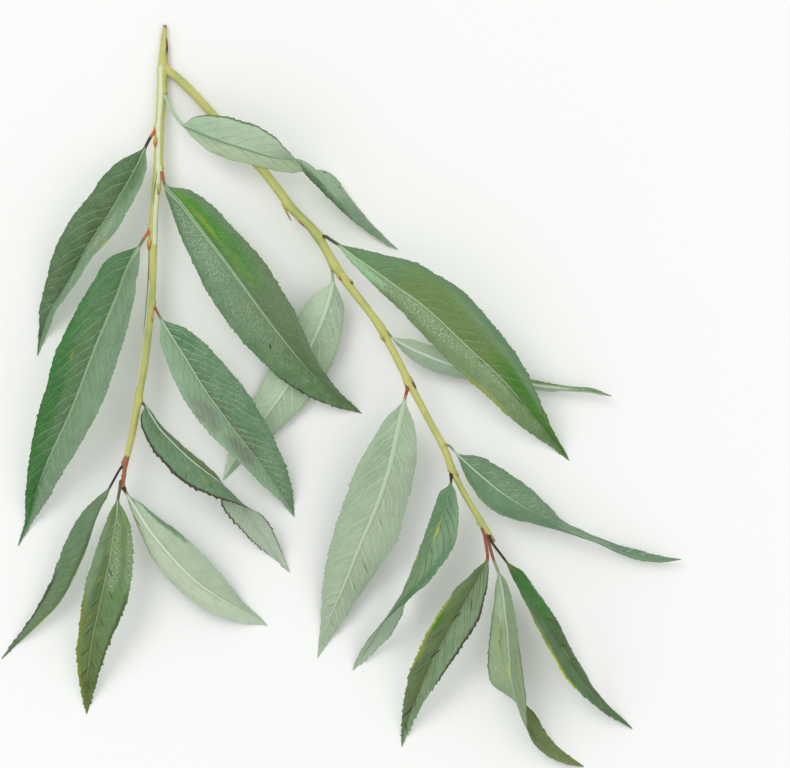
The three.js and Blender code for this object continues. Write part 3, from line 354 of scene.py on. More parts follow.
            (38.14, -29.85, 13.9, 0.99, -50.3, 0.99, 50.3),
            (37.44, -33.3, 14.8, 3.72, -36.9, 3.61, 51),
            (36.39, -37.78, 15.5, 5.43, -49.9, 5.56, 38.2),
            (35, -42.27, 15.9, 6.53, -53.9, 6.84, 29.6),
            (33.27, -46.77, 16.1, 7.24, -59.5, 7.77, 22.6),
            (31.54, -51.27, 16, 7.36, -62.2, 7.89, 27.5),
            (29.46, -55.79, 15.6, 7.26, -64.3, 7.65, 41),
            (26.7, -60.33, 14.8, 6.9, -69.8, 7.36, 42.5),
            (23.93, -64.71, 13.7, 6.47, -76.9, 6.8, 57.3),
            (21.71, -67.88, 12.7, 6.15, -86.7, 6.5, 65.8),
            (19.7, -70.89, 11.6, 5.83, -113, 6.08, 74),
            (17.75, -73.9, 10.4, 5.53, -133.1, 5.67, 80.8),
            (15.73, -77.07, 9, 5.12, -152.8, 5.14, 88.4),
            (13.57, -80.51, 7.3, 4.86, -168.6, 4.58, 100.6),
            (11.26, -84.25, 5.3, 4.14, -168.6, 3.87, 113.5),
            (8.95, -88.07, 3.2, 3.07, -168.6, 2.86, 122.6),
            (6.69, -91.83, 1.2, 1.78, -168.6, 1.78, 128.9),
            (4.19, -95.85, -0.8, 0.27, -141.7, 0.27, 141.7),
        ]),
    "side_leaf_6": dict(r=0.39, under=False, turns=False, arch=0.05,
        stalk=[[36.58, -16.33, 13.8], [37.61, -17.36, 14.6], [38.99, -18.91, 15.2]],
        blade=[
            (38.99, -18.91, 15.2, 0.83, -62.2, 0.83, -62.2),
            (43.91, -23.66, 16.35, 4.59, -50.3, 4.72, -27.1),
            (49.08, -28.15, 17.07, 7.09, -39.5, 7.16, -30.5),
            (54.35, -32.53, 17.28, 8.48, -37.2, 8.5, -34.6),
            (60.02, -36.42, 16.86, 9.07, -43.5, 9.11, -39.9),
            (65.96, -39.95, 15.62, 8.39, -53.5, 8.51, -44.1),
            (72.1, -43.21, 13.97, 7.09, -63.7, 7.21, -53),
            (78.41, -46.17, 12.23, 5.55, -72.4, 5.57, -70.1),
            (84.9, -48.74, 10.41, 4.28, -74.4, 4.31, -70.9),
            (91.4, -51.31, 8.75, 3.85, -74.5, 3.88, -69.6),
            (97.83, -54.05, 7.4, 3.51, -68.8, 3.55, -61.6),
            (104.51, -56.09, 6.18, 3.2, -61.5, 3.26, -51.3),
            (111.4, -57.2, 5.08, 2.24, -60, 2.27, -49.9),
            (118.37, -57.12, 4.2, 0.3, -54.5, 0.3, -54.5),
        ]),
    "side_leaf_7": dict(r=0.56, under=False, turns=False, arch=0.05,
        stalk=[[48.76, -43.79, 11.9], [49.71, -47.97, 11.4], [50.43, -52.13, 11.6], [50.8, -56.62, 12.2]],
        blade=[
            (50.8, -56.62, 12.2, 0.58, 14.9, 0.58, 14.9),
            (47.87, -62.38, 13.45, 3.14, 37.1, 3.65, 14.9),
            (44.77, -68.06, 14.37, 5.36, 26.8, 5.74, 14.9),
            (41.57, -73.69, 14.83, 6.66, 33.5, 7.51, 14.9),
            (38.33, -79.32, 14.66, 6.86, 27.9, 7.4, 14.9),
            (35.26, -85.1, 13.74, 6.78, 19.1, 6.92, 14.9),
            (32.18, -90.91, 12.14, 6.09, 18.8, 6.21, 14.9),
            (29.37, -96.92, 9.88, 5.81, 14.9, 5.39, 27.6),
            (26.82, -103.1, 7.21, 4.7, 14.9, 4.2, 32.5),
            (24.48, -109.4, 4.41, 3.23, 14.9, 2.97, 28.9),
            (22.47, -115.84, 1.57, 1.67, 21.5, 1.73, 14.9),
            (21.18, -122.5, -1.2, 0.18, 14.9, 0.18, 14.9),
        ]),
    "side_leaf_8": dict(r=0.52, under=True, turns=True, arch=0.03,
        stalk=[[50.89, -47.27, 11.5], [51.59, -51.8, 11.2], [52.76, -56.3, 11.6], [54.48, -60.95, 12.4]],
        blade=[
            (54.48, -60.95, 12.4, 1, -45.4, 1, 45.4),
            (55.85, -65.95, 13.2, 3.04, -36.4, 2.99, 45.4),
            (56.52, -71.12, 13.8, 4.54, -39.6, 4.44, 50.9),
            (57.21, -76.3, 14.2, 5.79, -32.2, 5.53, 55.3),
            (57.9, -81.15, 14.3, 6.87, -26.9, 6.44, 59.6),
            (58.25, -86.01, 14.2, 7.74, -25.3, 7.22, 61),
            (58.6, -90.88, 13.9, 8.28, -22.9, 7.72, 60.1),
            (58.96, -95.77, 13.4, 8.48, -21, 7.87, 60.7),
            (59.53, -99.62, 12.9, 8.19, -31.3, 7.72, 60.1),
            (60.31, -102.96, 12.3, 7.51, -53.4, 7.37, 61.6),
            (61.16, -105.96, 11.6, 6.86, -72.2, 6.96, 66.3),
            (62.02, -108.73, 10.8, 6.19, -96.5, 6.48, 72.4),
            (62.95, -111.45, 9.8, 5.83, -124.3, 5.98, 80.6),
            (64.1, -114.19, 8.6, 5.41, -147.2, 5.41, 92.2),
            (65.82, -116.95, 7.1, 4.94, -164.5, 4.94, 104.8),
            (68.17, -119.66, 5.5, 4.4, -162.5, 4.4, 115.4),
            (71.08, -122.23, 4, 3.75, -153.7, 3.75, 125.4),
            (74.27, -124.44, 2.7, 3.09, -142.4, 3.09, 134.5),
            (77.81, -126.46, 1.6, 2.38, -132.6, 2.38, 139.9),
            (81.36, -128.31, 0.4, 1.34, -141.7, 1.34, 141.7),
            (84.55, -129.62, -0.6, 0.27, -141.7, 0.27, 141.7),
        ]),
    "side_leaf_9": dict(r=0.45, under=False, turns=False, arch=0.05,
        stalk=[[50.85, -47.1, 11.5], [52.57, -51.07, 12.2], [54.81, -54.17, 12.8], [57.05, -57.09, 13.4]],
        blade=[
            (57.05, -57.09, 13.4, 0.83, 56.9, 0.83, -56.9),
            (60.4, -62.13, 14.47, 2.98, 67, 3.16, -23),
            (63.64, -67.24, 15.31, 4.49, 66, 4.64, -44.2),
            (66.87, -72.38, 15.8, 5.49, 64.8, 5.64, -46.9),
            (70.04, -77.58, 15.82, 6.2, 62.2, 6.32, -49.1),
            (73.15, -82.88, 15.12, 6.44, 58.7, 6.51, -51.5),
            (76.3, -88.21, 13.83, 6.65, 58.2, 6.66, -56.8),
            (79.7, -93.44, 12.06, 6.23, 51.7, 6.16, -58.6),
            (83.39, -98.53, 9.82, 5.72, 53.2, 5.65, -61.8),
            (87.55, -103.31, 7.28, 4.74, 53.9, 4.62, -69.7),
            (92.01, -107.85, 4.51, 3.46, 49.7, 3.33, -73.1),
            (96.96, -111.89, 1.64, 2, 37.5, 1.86, -82.3),
            (101.57, -116.37, -1.2, 0.3, 54.5, 0.3, -54.5),
        ]),
}
BUDS = {
    "fork_spur": dict(on="main", at=12.13, side=1, round=20, length=9.0, width=1.1, lean=0.02, back=True),
    "main_bud_1": dict(on="main", at=39.83, side=-1, round=54, length=3.6, width=1.5, lean=0.16, back=False),
    "main_bud_2": dict(on="main", at=75.64, side=-1, round=48, length=4.0, width=1.6, lean=0.16, back=False),
    "main_bud_3": dict(on="main", at=56.59, side=1, round=56, length=3.8, width=1.5, lean=0.16, back=False),
    "main_bud_4": dict(on="main", at=101.95, side=1, round=46, length=2.6, width=1.2, lean=0.12, back=False),
    "side_spur": dict(on="side", at=64.52, side=-1, round=14, length=6.4, width=0.9, lean=0.32, back=False),
    "side_bud_1": dict(on="side", at=70.89, side=-1, round=22, length=5.0, width=1.0, lean=0.03, back=False),
    "side_bud_2": dict(on="side", at=94.54, side=-1, round=50, length=3.2, width=1.2, lean=0.1, back=False),
    "side_bud_3": dict(on="side", at=98.94, side=1, round=30, length=2.2, width=1.1, lean=0.1, back=False),
    "side_bud_4": dict(on="side", at=120.88, side=-1, round=45, length=3.0, width=1.3, lean=0.06, back=False),
    "side_bud_5": dict(on="side", at=139.63, side=1, round=30, length=4.8, width=1.3, lean=0.06, back=False),
    "side_bud_6": dict(on="side", at=174.68, side=1, round=50, length=2.4, width=1.1, lean=0.1, back=False),
}

# ---------------------------------------------------------------- curves
class Spline:
    """A smooth curve through rows of numbers; the first three are x, y, z."""

    def __init__(self, rows):
        self.v = np.array(rows, float)
        d = np.linalg.norm(np.diff(self.v[:, :3], axis=0), axis=1)
        self.t = np.r_[0, np.cumsum(d)]
        slope = np.diff(self.v, axis=0) / d[:, None]
        m = np.empty_like(self.v)
        m[0], m[-1] = slope[0], slope[-1]
        d0, d1 = d[:-1, None], d[1:, None]
        m[1:-1] = (slope[:-1] * d1 + slope[1:] * d0) / (d0 + d1)
        self.m = m
        self.length = self.t[-1]

    def __call__(self, s):
        s = np.atleast_1d(np.asarray(s, float))
        i = np.clip(np.searchsorted(self.t, s, side="right") - 1, 0, len(self.t) - 2)
        h = self.t[i + 1] - self.t[i]
        u = ((s - self.t[i]) / h)[:, None]
        h = h[:, None]
        u2, u3 = u * u, u * u * u
        return ((2 * u3 - 3 * u2 + 1) * self.v[i] + (u3 - 2 * u2 + u) * h * self.m[i]
                + (3 * u2 - 2 * u3) * self.v[i + 1] + (u3 - u2) * h * self.m[i + 1])

    def axes(self, s, step=0.6):
        """Direction, level direction to the left, and the direction across both that points up."""
        a, b = self(np.maximum(0, s - step)), self(np.minimum(self.length, s + step))
        T = b[:, :3] - a[:, :3]
        T /= np.linalg.norm(T, axis=1)[:, None]
        N = np.stack([-T[:, 1], T[:, 0], np.zeros(len(T))], 1)
        N /= np.linalg.norm(N, axis=1)[:, None]
        return T, N, np.cross(T, N)


def nearest(curve, point):
    s = np.arange(0, curve.length, 0.1)
    p = curve(s)[:, :3]
    i = np.linalg.norm(p - np.array(point[:3]), axis=1).argmin()
    return s[i]


def smoothstep(x, lo, hi):
    u = np.clip((np.asarray(x, float) - lo) / (hi - lo), 0, 1)
    return u * u * (3 - 2 * u)


def waves(s, seed, scale):
    """A smooth seeded wobble of about -1 to 1 along s, with bends about `scale` apart."""
    r = np.random.RandomState(seed)
    out = 0
    for k in range(4):
        f = (0.6 + 0.55 * k) / scale
        out = out + np.sin(2 * np.pi * (s * f + r.rand())) * (0.55 + 0.4 * r.rand()) / (1 + 0.55 * k)
    return out / 2.0


def mesh_object(name, verts, faces, uvs=None, attrs=None, mats=(), face_mats=None, smooth=True):
    me = bpy.data.meshes.new(name)
    nv, nf = len(verts), len(faces)
    me.vertices.add(nv)
    me.vertices.foreach_set("co", np.asarray(verts, np.float32).ravel())
    me.loops.add(nf * 4)
    me.loops.foreach_set("vertex_index", np.asarray(faces, np.int32).ravel())
    me.polygons.add(nf)
    me.polygons.foreach_set("loop_start", np.arange(0, nf * 4, 4, dtype=np.int32))
    for m in mats:
        me.materials.append(m)
    if face_mats is not None:
        me.polygons.foreach_set("material_index", np.asarray(face_mats, np.int32))
    me.update(calc_edges=True)
    for key, data in (uvs or {}).items():
        layer = me.uv_layers.new(name=key)
        layer.data.foreach_set("uv", np.asarray(data, np.float32)[np.asarray(faces).ravel()].ravel())
    for key, data in (attrs or {}).items():
        at = me.attributes.new(key, "FLOAT", "POINT")
        at.data.foreach_set("value", np.asarray(data, np.float32))
    me.polygons.foreach_set("use_smooth", np.full(nf, smooth))
    me.validate(verbose=False)
    o = bpy.data.objects.new(name, me)
    bpy.context.scene.collection.objects.link(o)
    return o


def grid_faces(rows, cols, flip):
    """Quads of a tube of rows x cols points, closed round the columns."""
    r, c = np.meshgrid(np.arange(rows - 1), np.arange(cols), indexing="ij")
    a = r * cols + c
    b = r * cols + (c + 1) % cols
    f = np.stack([a, b, b + cols, a + cols], -1).reshape(-1, 4)
    return f[:, ::-1] if flip else f


def cap_points(ring, inward, levels):
    """Rings that round off the open end of a tube, going to a point."""
    mid = ring.mean(0)
    return [mid + (ring - mid) * k + inward * h for k, h in levels]


def volume(v, f):
    a, b, c, d = v[f[:, 0]], v[f[:, 1]], v[f[:, 2]], v[f[:, 3]]
    return (np.einsum("ij,ij->i", a, np.cross(b, c)) + np.einsum("ij,ij->i", a, np.cross(c, d))).sum()


# ---------------------------------------------------------------- colour and nodes
def lin(c):
    out = []
    for v in c:
        v /= 255.0
        out.append(v / 12.92 if v <= 0.04045 else ((v + 0.055) / 1.055) ** 2.4)
    return (*out, 1.0)


class Nodes:
    def __init__(self, name):
        self.mat = bpy.data.materials.new(name)
        self.mat.use_nodes = True
        self.t = self.mat.node_tree
        self.t.nodes.clear()
        self.out = self.t.nodes.new("ShaderNodeOutputMaterial")

    def put(self, socket, value):
        if isinstance(value, bpy.types.NodeSocket):
            self.t.links.new(value, socket)
        elif value is not None:
            socket.default_value = value

    def math(self, op, a, b=None, c=None, clamp=False):
        n = self.t.nodes.new("ShaderNodeMath")
        n.operation, n.use_clamp = op, clamp
        self.put(n.inputs[0], a)
        if b is not None: self.put(n.inputs[1], b)
        if c is not None: self.put(n.inputs[2], c)
        return n.outputs[0]

    def add(self, a, b): return self.math("ADD", a, b)
    def sub(self, a, b): return self.math("SUBTRACT", a, b)
    def mul(self, a, b): return self.math("MULTIPLY", a, b)
    def mad(self, a, b, c): return self.math("MULTIPLY_ADD", a, b, c)

    def ramp(self, x, lo, hi, out_lo=0.0, out_hi=1.0):
        """Smooth step of x from lo to hi."""
        n = self.t.nodes.new("ShaderNodeMapRange")
        n.interpolation_type = "SMOOTHSTEP"
        self.put(n.inputs["Value"], x)
        n.inputs["From Min"].default_value, n.inputs["From Max"].default_value = lo, hi
        n.inputs["To Min"].default_value, n.inputs["To Max"].default_value = out_lo, out_hi
        return n.outputs["Result"]

    def mix(self, fac, a, b):
        n = self.t.nodes.new("ShaderNodeMix")
        n.data_type = "RGBA"
        n.clamp_factor = True
        self.put(n.inputs[0], fac)
        self.put(n.inputs[6], lin(a) if isinstance(a, tuple) and len(a) == 3 else a)
        self.put(n.inputs[7], lin(b) if isinstance(b, tuple) and len(b) == 3 else b)
        return n.outputs[2]

    def scale_colour(self, colour, factor):
        n = self.t.nodes.new("ShaderNodeVectorMath")
        n.operation = "SCALE"
        self.put(n.inputs[0], colour)
        self.put(n.inputs["Scale"], factor)
        return n.outputs[0]

    def uv(self, name):
        n = self.t.nodes.new("ShaderNodeUVMap")
        n.uv_map = name
        s = self.t.nodes.new("ShaderNodeSeparateXYZ")
        self.t.links.new(n.outputs[0], s.inputs[0])
        return s.outputs[0], s.outputs[1]

    def xyz(self, x, y=0.0, z=0.0):
        n = self.t.nodes.new("ShaderNodeCombineXYZ")
        for i, v in enumerate((x, y, z)): self.put(n.inputs[i], v)
        return n.outputs[0]

    def attr(self, name):
        n = self.t.nodes.new("ShaderNodeAttribute")
        n.attribute_name = name
        return n.outputs["Fac"]

    def noise(self, vec, scale=1.0, detail=2.0, rough=0.5, seed=0.0):
        n = self.t.nodes.new("ShaderNodeTexNoise")
        n.noise_dimensions = "4D"
        self.put(n.inputs["Vector"], vec)
        n.inputs["W"].default_value = seed
        n.inputs["Scale"].default_value = scale
        n.inputs["Detail"].default_value = detail
        n.inputs["Roughness"].default_value = rough
        return n.outputs[0]

    def cells(self, vec, scale):
        n = self.t.nodes.new("ShaderNodeTexVoronoi")
        n.feature = "DISTANCE_TO_EDGE"
        self.put(n.inputs["Vector"], vec)
        n.inputs["Scale"].default_value = scale
        return n.outputs["Distance"]

    def surface(self, colour, rough, height=None, strength=0.4, distance=0.0005, spec=0.35, **extra):
        p = self.t.nodes.new("ShaderNodeBsdfPrincipled")
        self.put(p.inputs["Base Color"], colour)
        self.put(p.inputs["Roughness"], rough)
        p.inputs["Specular IOR Level"].default_value = spec
        for k, v in extra.items():
            p.inputs[k.replace("_", " ")].default_value = v
        if height is not None:
            b = self.t.nodes.new("ShaderNodeBump")
            b.inputs["Strength"].default_value = strength
            b.inputs["Distance"].default_value = distance
            self.put(b.inputs["Height"], height)
            self.t.links.new(b.outputs[0], p.inputs["Normal"])
        self.t.links.new(p.outputs[0], self.out.inputs[0])
        return self.mat


# ---------------------------------------------------------------- leaf finish
# u runs 0 to 1 from the blade's base to its tip, t runs -1 to 1 from the left
# margin to the right one, and (s, a) are the same two in millimetres.
FACE = dict(
    left=(100, 132, 98), right=(108, 140, 104), tip_left=None, tip_right=None,
    rib=(168, 190, 152), rib_w=0.34, rib_end=0.9, rib_s=0.85, rib_dark=0.30, rib_split=0.0,
    vein=(160, 186, 148), vein_l=0.55, vein_r=0.55, vein_w=0.10,
    stipple_l=0.15, stipple_r=0.15, stipple=(205, 222, 200), blooms=(),
    feather_l=0.15, feather_r=0.15, feather=(176, 198, 168), hair_l=0.0, hair_r=0.0, hair=(190, 208, 184),
    edge_l=None, edge_r=None, edge_w=0.07, patches=(), dashes=(), specks=0.0, speck=(62, 62, 44),
    streak=0.30, stroke=0.30, stroke_dark=0.30, rough=0.52,
)
BACK = dict(
    FACE, left=(166, 188, 162), right=(172, 194, 166), rib=(204, 218, 196), rib_w=0.5, vein=(196, 212, 190),
    vein_l=0.5, vein_r=0.5, stipple_l=0.12, stipple_r=0.12, feather=(200, 214, 194), rough=0.68, stroke=0.2, streak=0.2,
)


def shift(s, seed, sin, add):
    """How far the side veins wander along the leaf, for numbers and for nodes alike."""
    return add(add(sin(s, 0.42, seed, 0.55), sin(s, 0.17, 2.1 * seed, 0.9)), sin(s, 0.95, 3.3 * seed, 0.22))


def leaf_material(name, look, seed, spacing, k, c, stalk, foot, foot_len, under, place):
    n = Nodes(name)
    u, t = n.uv("leaf")
    s, a = n.uv("mm")
    at, aa = n.math("ABSOLUTE", t), n.math("ABSOLUTE", a)
    side = n.ramp(t, -0.02, 0.02)                                   # 0 on the left half, 1 on the right
    both = lambda key: n.mad(side, look[key + "_r"] - look[key + "_l"], look[key + "_l"])
    mm = n.xyz(s, a, 0.0)
    soft = n.noise(mm, 0.16, 3.0, 0.55, seed)
    # two halves, each fading towards the tip
    tip = n.ramp(n.add(u, n.mul(n.sub(soft, 0.5), 0.4)), 0.45, 0.95)
    left = n.mix(tip, look["left"], look["tip_left"] or look["left"])
    right = n.mix(tip, look["right"], look["tip_right"] or look["right"])
    col = n.mix(side, left, right)
    # patches of another green, with edges frayed along the leaf
    fray = n.noise(n.xyz(n.mul(s, 0.22), n.mul(a, 1.5), 0.0), 1.0, 5.0, 0.65, seed + 3.0)
    for (pu, pt, du, dt, colour, amount, *fr) in look["patches"]:
        x = n.mul(n.sub(u, pu), 1.0 / du)
        y = n.mul(n.sub(t, pt), 1.0 / dt)
        d = n.math("SQRT", n.add(n.mul(x, x), n.mul(y, y)))
        d = n.add(d, n.mul(n.sub(fray, 0.5), fr[0] if fr else 1.3))
        col = n.mix(n.mul(n.ramp(d, 1.05, 0.45), amount), col, colour)
    # brush-like tone along the blade, and tone that follows the side veins
    sin = lambda x, f, p, amp: n.mul(n.math("SINE", n.mad(x, f, p)), amp)
    wander = shift(s, seed, sin, n.add)
    q = n.sub(n.sub(n.add(s, wander), n.mul(aa, k)), n.mul(n.mul(aa, aa), c))
    along = n.noise(n.xyz(n.mul(s, 0.10), n.mul(a, 2.2), 0.0), 1.0, 5.0, 0.68, seed + 7.0)
    lines = n.noise(n.xyz(n.mul(q, 1.7), n.mul(a, 0.16), 0.0), 1.0, 4.0, 0.65, seed + 11.0)
    tone = n.add(n.mul(n.sub(along, 0.5), look["streak"] * 2.0), n.mul(n.sub(lines, 0.5), look["stroke"] * 2.0))
    tone = n.add(tone, n.mul(n.sub(soft, 0.5), 0.30))
    col = n.scale_colour(col, n.math("MAXIMUM", n.add(tone, 1.0), 0.3))
    # light strokes along the side veins, and light hairs along the leaf
    strokes = n.noise(n.xyz(n.mul(q, 2.6), n.mul(a, 0.30), 3.0), 1.0, 3.0, 0.6, seed + 13.0)
    inner = n.ramp(at, 1.0, 0.75)
    bunch = n.ramp(n.noise(n.xyz(n.mul(q, 0.25), n.mul(a, 0.3), 9.0), 1.0, 2.0, 0.5, seed + 14.0), 0.38, 0.58, 0.15, 1.0)
    col = n.mix(n.mul(n.mul(n.mul(n.ramp(strokes, 0.54, 0.70), inner), bunch), both("feather")), col, look["feather"])
    hairs = n.noise(n.xyz(n.mul(s, 0.28), n.mul(a, 4.2), 5.0), 1.0, 3.0, 0.65, seed + 17.0)
    col = n.mix(n.mul(n.ramp(hairs, 0.54, 0.70), both("hair")), col, look["hair"])
    # white bloom: fine short dashes, dense in places
    grain = n.noise(n.xyz(n.mul(s, 1.15), n.mul(a, 4.6), 0.0), 1.0, 3.0, 0.78, seed + 19.0)
    where = n.noise(mm, 0.20, 2.0, 0.5, seed + 23.0)
    amount = n.mul(n.ramp(where, 0.38, 0.60), both("stipple"))
    for (pu, pt, du, dt, strength) in look["blooms"]:
        x = n.mul(n.sub(u, pu), 1.0 / du)
        y = n.mul(n.sub(t, pt), 1.0 / dt)
        d = n.add(n.math("SQRT", n.add(n.mul(x, x), n.mul(y, y))), n.mul(n.sub(fray, 0.5), 0.8))
        amount = n.math("MAXIMUM", amount, n.mul(n.ramp(d, 1.05, 0.45), strength))
    bloom = n.mul(n.ramp(grain, 0.50, 0.62), amount)
    col = n.mix(bloom, col, look["stipple"])
    # side veins, each of its own strength
    cellx = n.mad(side, 0.47, n.mul(q, 1.0 / spacing))
    cell = n.math("FRACT", cellx)
    off = n.mul(n.math("ABSOLUTE", n.sub(cell, 0.5)), spacing / math.sqrt(1 + k * k))
    own = n.t.nodes.new("ShaderNodeTexWhiteNoise")
    own.noise_dimensions = "1D"
    n.put(own.inputs["W"], n.add(n.math("FLOOR", cellx), n.mad(side, 37.0, seed)))
    keep = n.mul(n.mul(n.ramp(at, 0.95, 0.70), n.ramp(u, 0.97, 0.80)), n.ramp(u, 0.01, 0.05))
    uneven = n.ramp(n.noise(mm, 0.45, 2.0, 0.5, seed + 29.0), 0.32, 0.55, 0.25, 1.0)
    uneven = n.mul(uneven, n.ramp(own.outputs["Value"], 0.0, 0.55, 0.35, 1.0))
    thin = n.mul(off, n.ramp(at, 0.1, 0.9, 1.0, 1.7))
    vein = n.mul(n.mul(n.ramp(thin, look["vein_w"] * 2.4, look["vein_w"] * 0.4), keep), uneven)
    # darker bands either side of each side vein: painted shade in the vein grooves
    vein_groove_shade = n.mul(n.mul(n.ramp(off, 0.85, 0.1), keep), uneven)
    amount = both("vein")
    col = n.mix(n.mul(n.mul(vein_groove_shade, amount), look["stroke_dark"] * 0.5), col, n.scale_colour(col, 0.72))
    col = n.mix(n.mul(vein, amount), col, look["vein"])
    # a fine net between the side veins
    net = n.ramp(n.cells(n.xyz(n.mul(q, 0.9), n.mul(a, 0.75), seed), 1.0), 0.10, 0.02)
    col = n.mix(n.mul(n.mul(net, n.ramp(at, 0.99, 0.9)), 0.10), col, look["vein"])
    # midrib
    half = n.mad(u, -look["rib_w"] * 0.8, look["rib_w"])
    wob = n.add(aa, n.mul(n.sub(n.noise(mm, 0.6, 2.0, 0.5, seed + 31.0), 0.5), 0.16))
    fade = n.ramp(u, look["rib_end"] + 0.04, look["rib_end"] - 0.25)
    # darker flanks beside the midrib: painted shade along its sides
    rib_flank_shade = n.mul(n.ramp(n.sub(wob, half), 0.9, 0.1), fade)
    col = n.mix(n.mul(rib_flank_shade, look["rib_dark"]), col, n.scale_colour(col, 0.66))
    rib = n.mul(n.mul(n.ramp(n.sub(wob, half), 0.10, -0.08), fade), n.ramp(s, -1.5, 1.0))
    if look["rib_split"]:
        gap = n.mul(n.ramp(n.sub(aa, n.mul(half, 0.30)), 0.05, -0.05), look["rib_split"])
        rib_col = n.mix(gap, look["rib"], n.scale_colour(col, 0.92))
    else:
        rib_col = look["rib"]
    col = n.mix(n.mul(n.mul(rib, look["rib_s"]), n.ramp(n.noise(n.xyz(n.mul(s, 0.5), n.mul(a, 6.0), 0.0), 1.0, 3.0, 0.6, seed + 33.0), 0.25, 0.5, 0.55, 1.0)), col, rib_col)
    # margins, in broken lengths
    torn = n.noise(n.xyz(n.mul(s, 0.45), n.mul(a, 0.5), 0.0), 1.0, 4.0, 0.7, seed + 37.0)
    rim = n.add(at, n.mul(n.sub(torn, 0.5), 0.16))
    edge = n.mul(n.ramp(rim, 1.0 - look["edge_w"] * 1.5, 1.0 - look["edge_w"] * 0.7), n.ramp(u, 0.0, 0.04))
    for key, mask in (("edge_l", n.sub(1.0, side)), ("edge_r", side)):
        if look[key]:
            colour, amount, *span = look[key]
            m = n.mul(n.mul(edge, mask), amount)
            if span:
                m = n.mul(m, n.mul(n.ramp(u, span[0] - 0.06, span[0] + 0.06), n.ramp(u, span[1] + 0.06, span[1] - 0.06)))
            col = n.mix(m, col, colour)
    # single strokes along a side vein: (u, t, half length, half width in mm, colour, amount, lean)
    for (pu, pt, hl, hw, colour, amount, *lean) in look["dashes"]:
        s0, a0 = place(pu, pt)
        if lean:      # along the leaf instead
            x, y = n.mul(n.sub(s, s0), 1.0 / hl), n.mul(n.sub(n.add(a, n.mul(n.sub(s, s0), -lean[0])), a0), 1.0 / hw)
        else:
            g = 1.0 if a0 > 0 else -1.0
            x = n.mul(n.sub(a, a0), 1.4 / hl)
            y = n.mul(n.sub(n.sub(s, s0), n.mul(n.sub(a, a0), k * g)), 0.7 / hw)
        d = n.add(n.math("SQRT", n.add(n.mul(x, x), n.mul(y, y))), n.mul(n.sub(grain, 0.5), 0.8))
        col = n.mix(n.mul(n.ramp(d, 1.15, 0.6), amount), col, colour)
    # dark specks
    if look["specks"]:
        spot = n.noise(n.xyz(n.mul(q, 1.5), n.mul(a, 0.8), 0.0), 1.0, 2.0, 0.6, seed + 41.0)
        col = n.mix(n.mul(n.mul(n.ramp(spot, 0.66, 0.74), n.ramp(s, 4.0, 8.0)), look["specks"]), col, look["speck"])
    # stalk
    foot_mask = n.ramp(n.add(n.attr("foot"), n.mul(n.noise(mm, 1.4, 3.0, 0.6, seed + 45.0), 0.9)), foot_len + 0.9, foot_len - 0.1)
    stalk_col = n.mix(foot_mask, stalk, foot)
    stalk_col = n.scale_colour(stalk_col, n.mad(n.noise(n.xyz(n.mul(s, 0.5), n.mul(t, 4.0), 0.0), 1.0, 3.0, 0.6, seed + 43.0), 0.7, 0.66))
    col = n.mix(n.ramp(n.add(s, n.mul(at, -1.0)), 1.2, -0.8), col, stalk_col)
    # relief: side veins and midrib sink on the face and stand out on the back
    sign = 1.0 if under else -1.0
    h = n.mul(n.add(n.mul(n.ramp(off, 0.5, 0.0), keep), n.mul(net, 0.25)), 0.55 * sign)
    h = n.add(h, n.mul(rib, 0.5 * sign))
    h = n.add(h, n.mul(n.noise(mm, 1.6, 4.0, 0.65, seed + 47.0), 0.40))
    h = n.add(h, n.mul(grain, 0.16))
    rough = n.mad(grain, 0.18, look["rough"] - 0.09)
    return n.surface(col, rough, h, strength=0.42, distance=0.00035, spec=0.22)


# ---------------------------------------------------------------- leaf shape
HALF = np.array([0, 0.03, 0.065, 0.115, 0.19, 0.28, 0.38, 0.48, 0.58, 0.68, 0.78, 0.87, 0.94, 1.0])


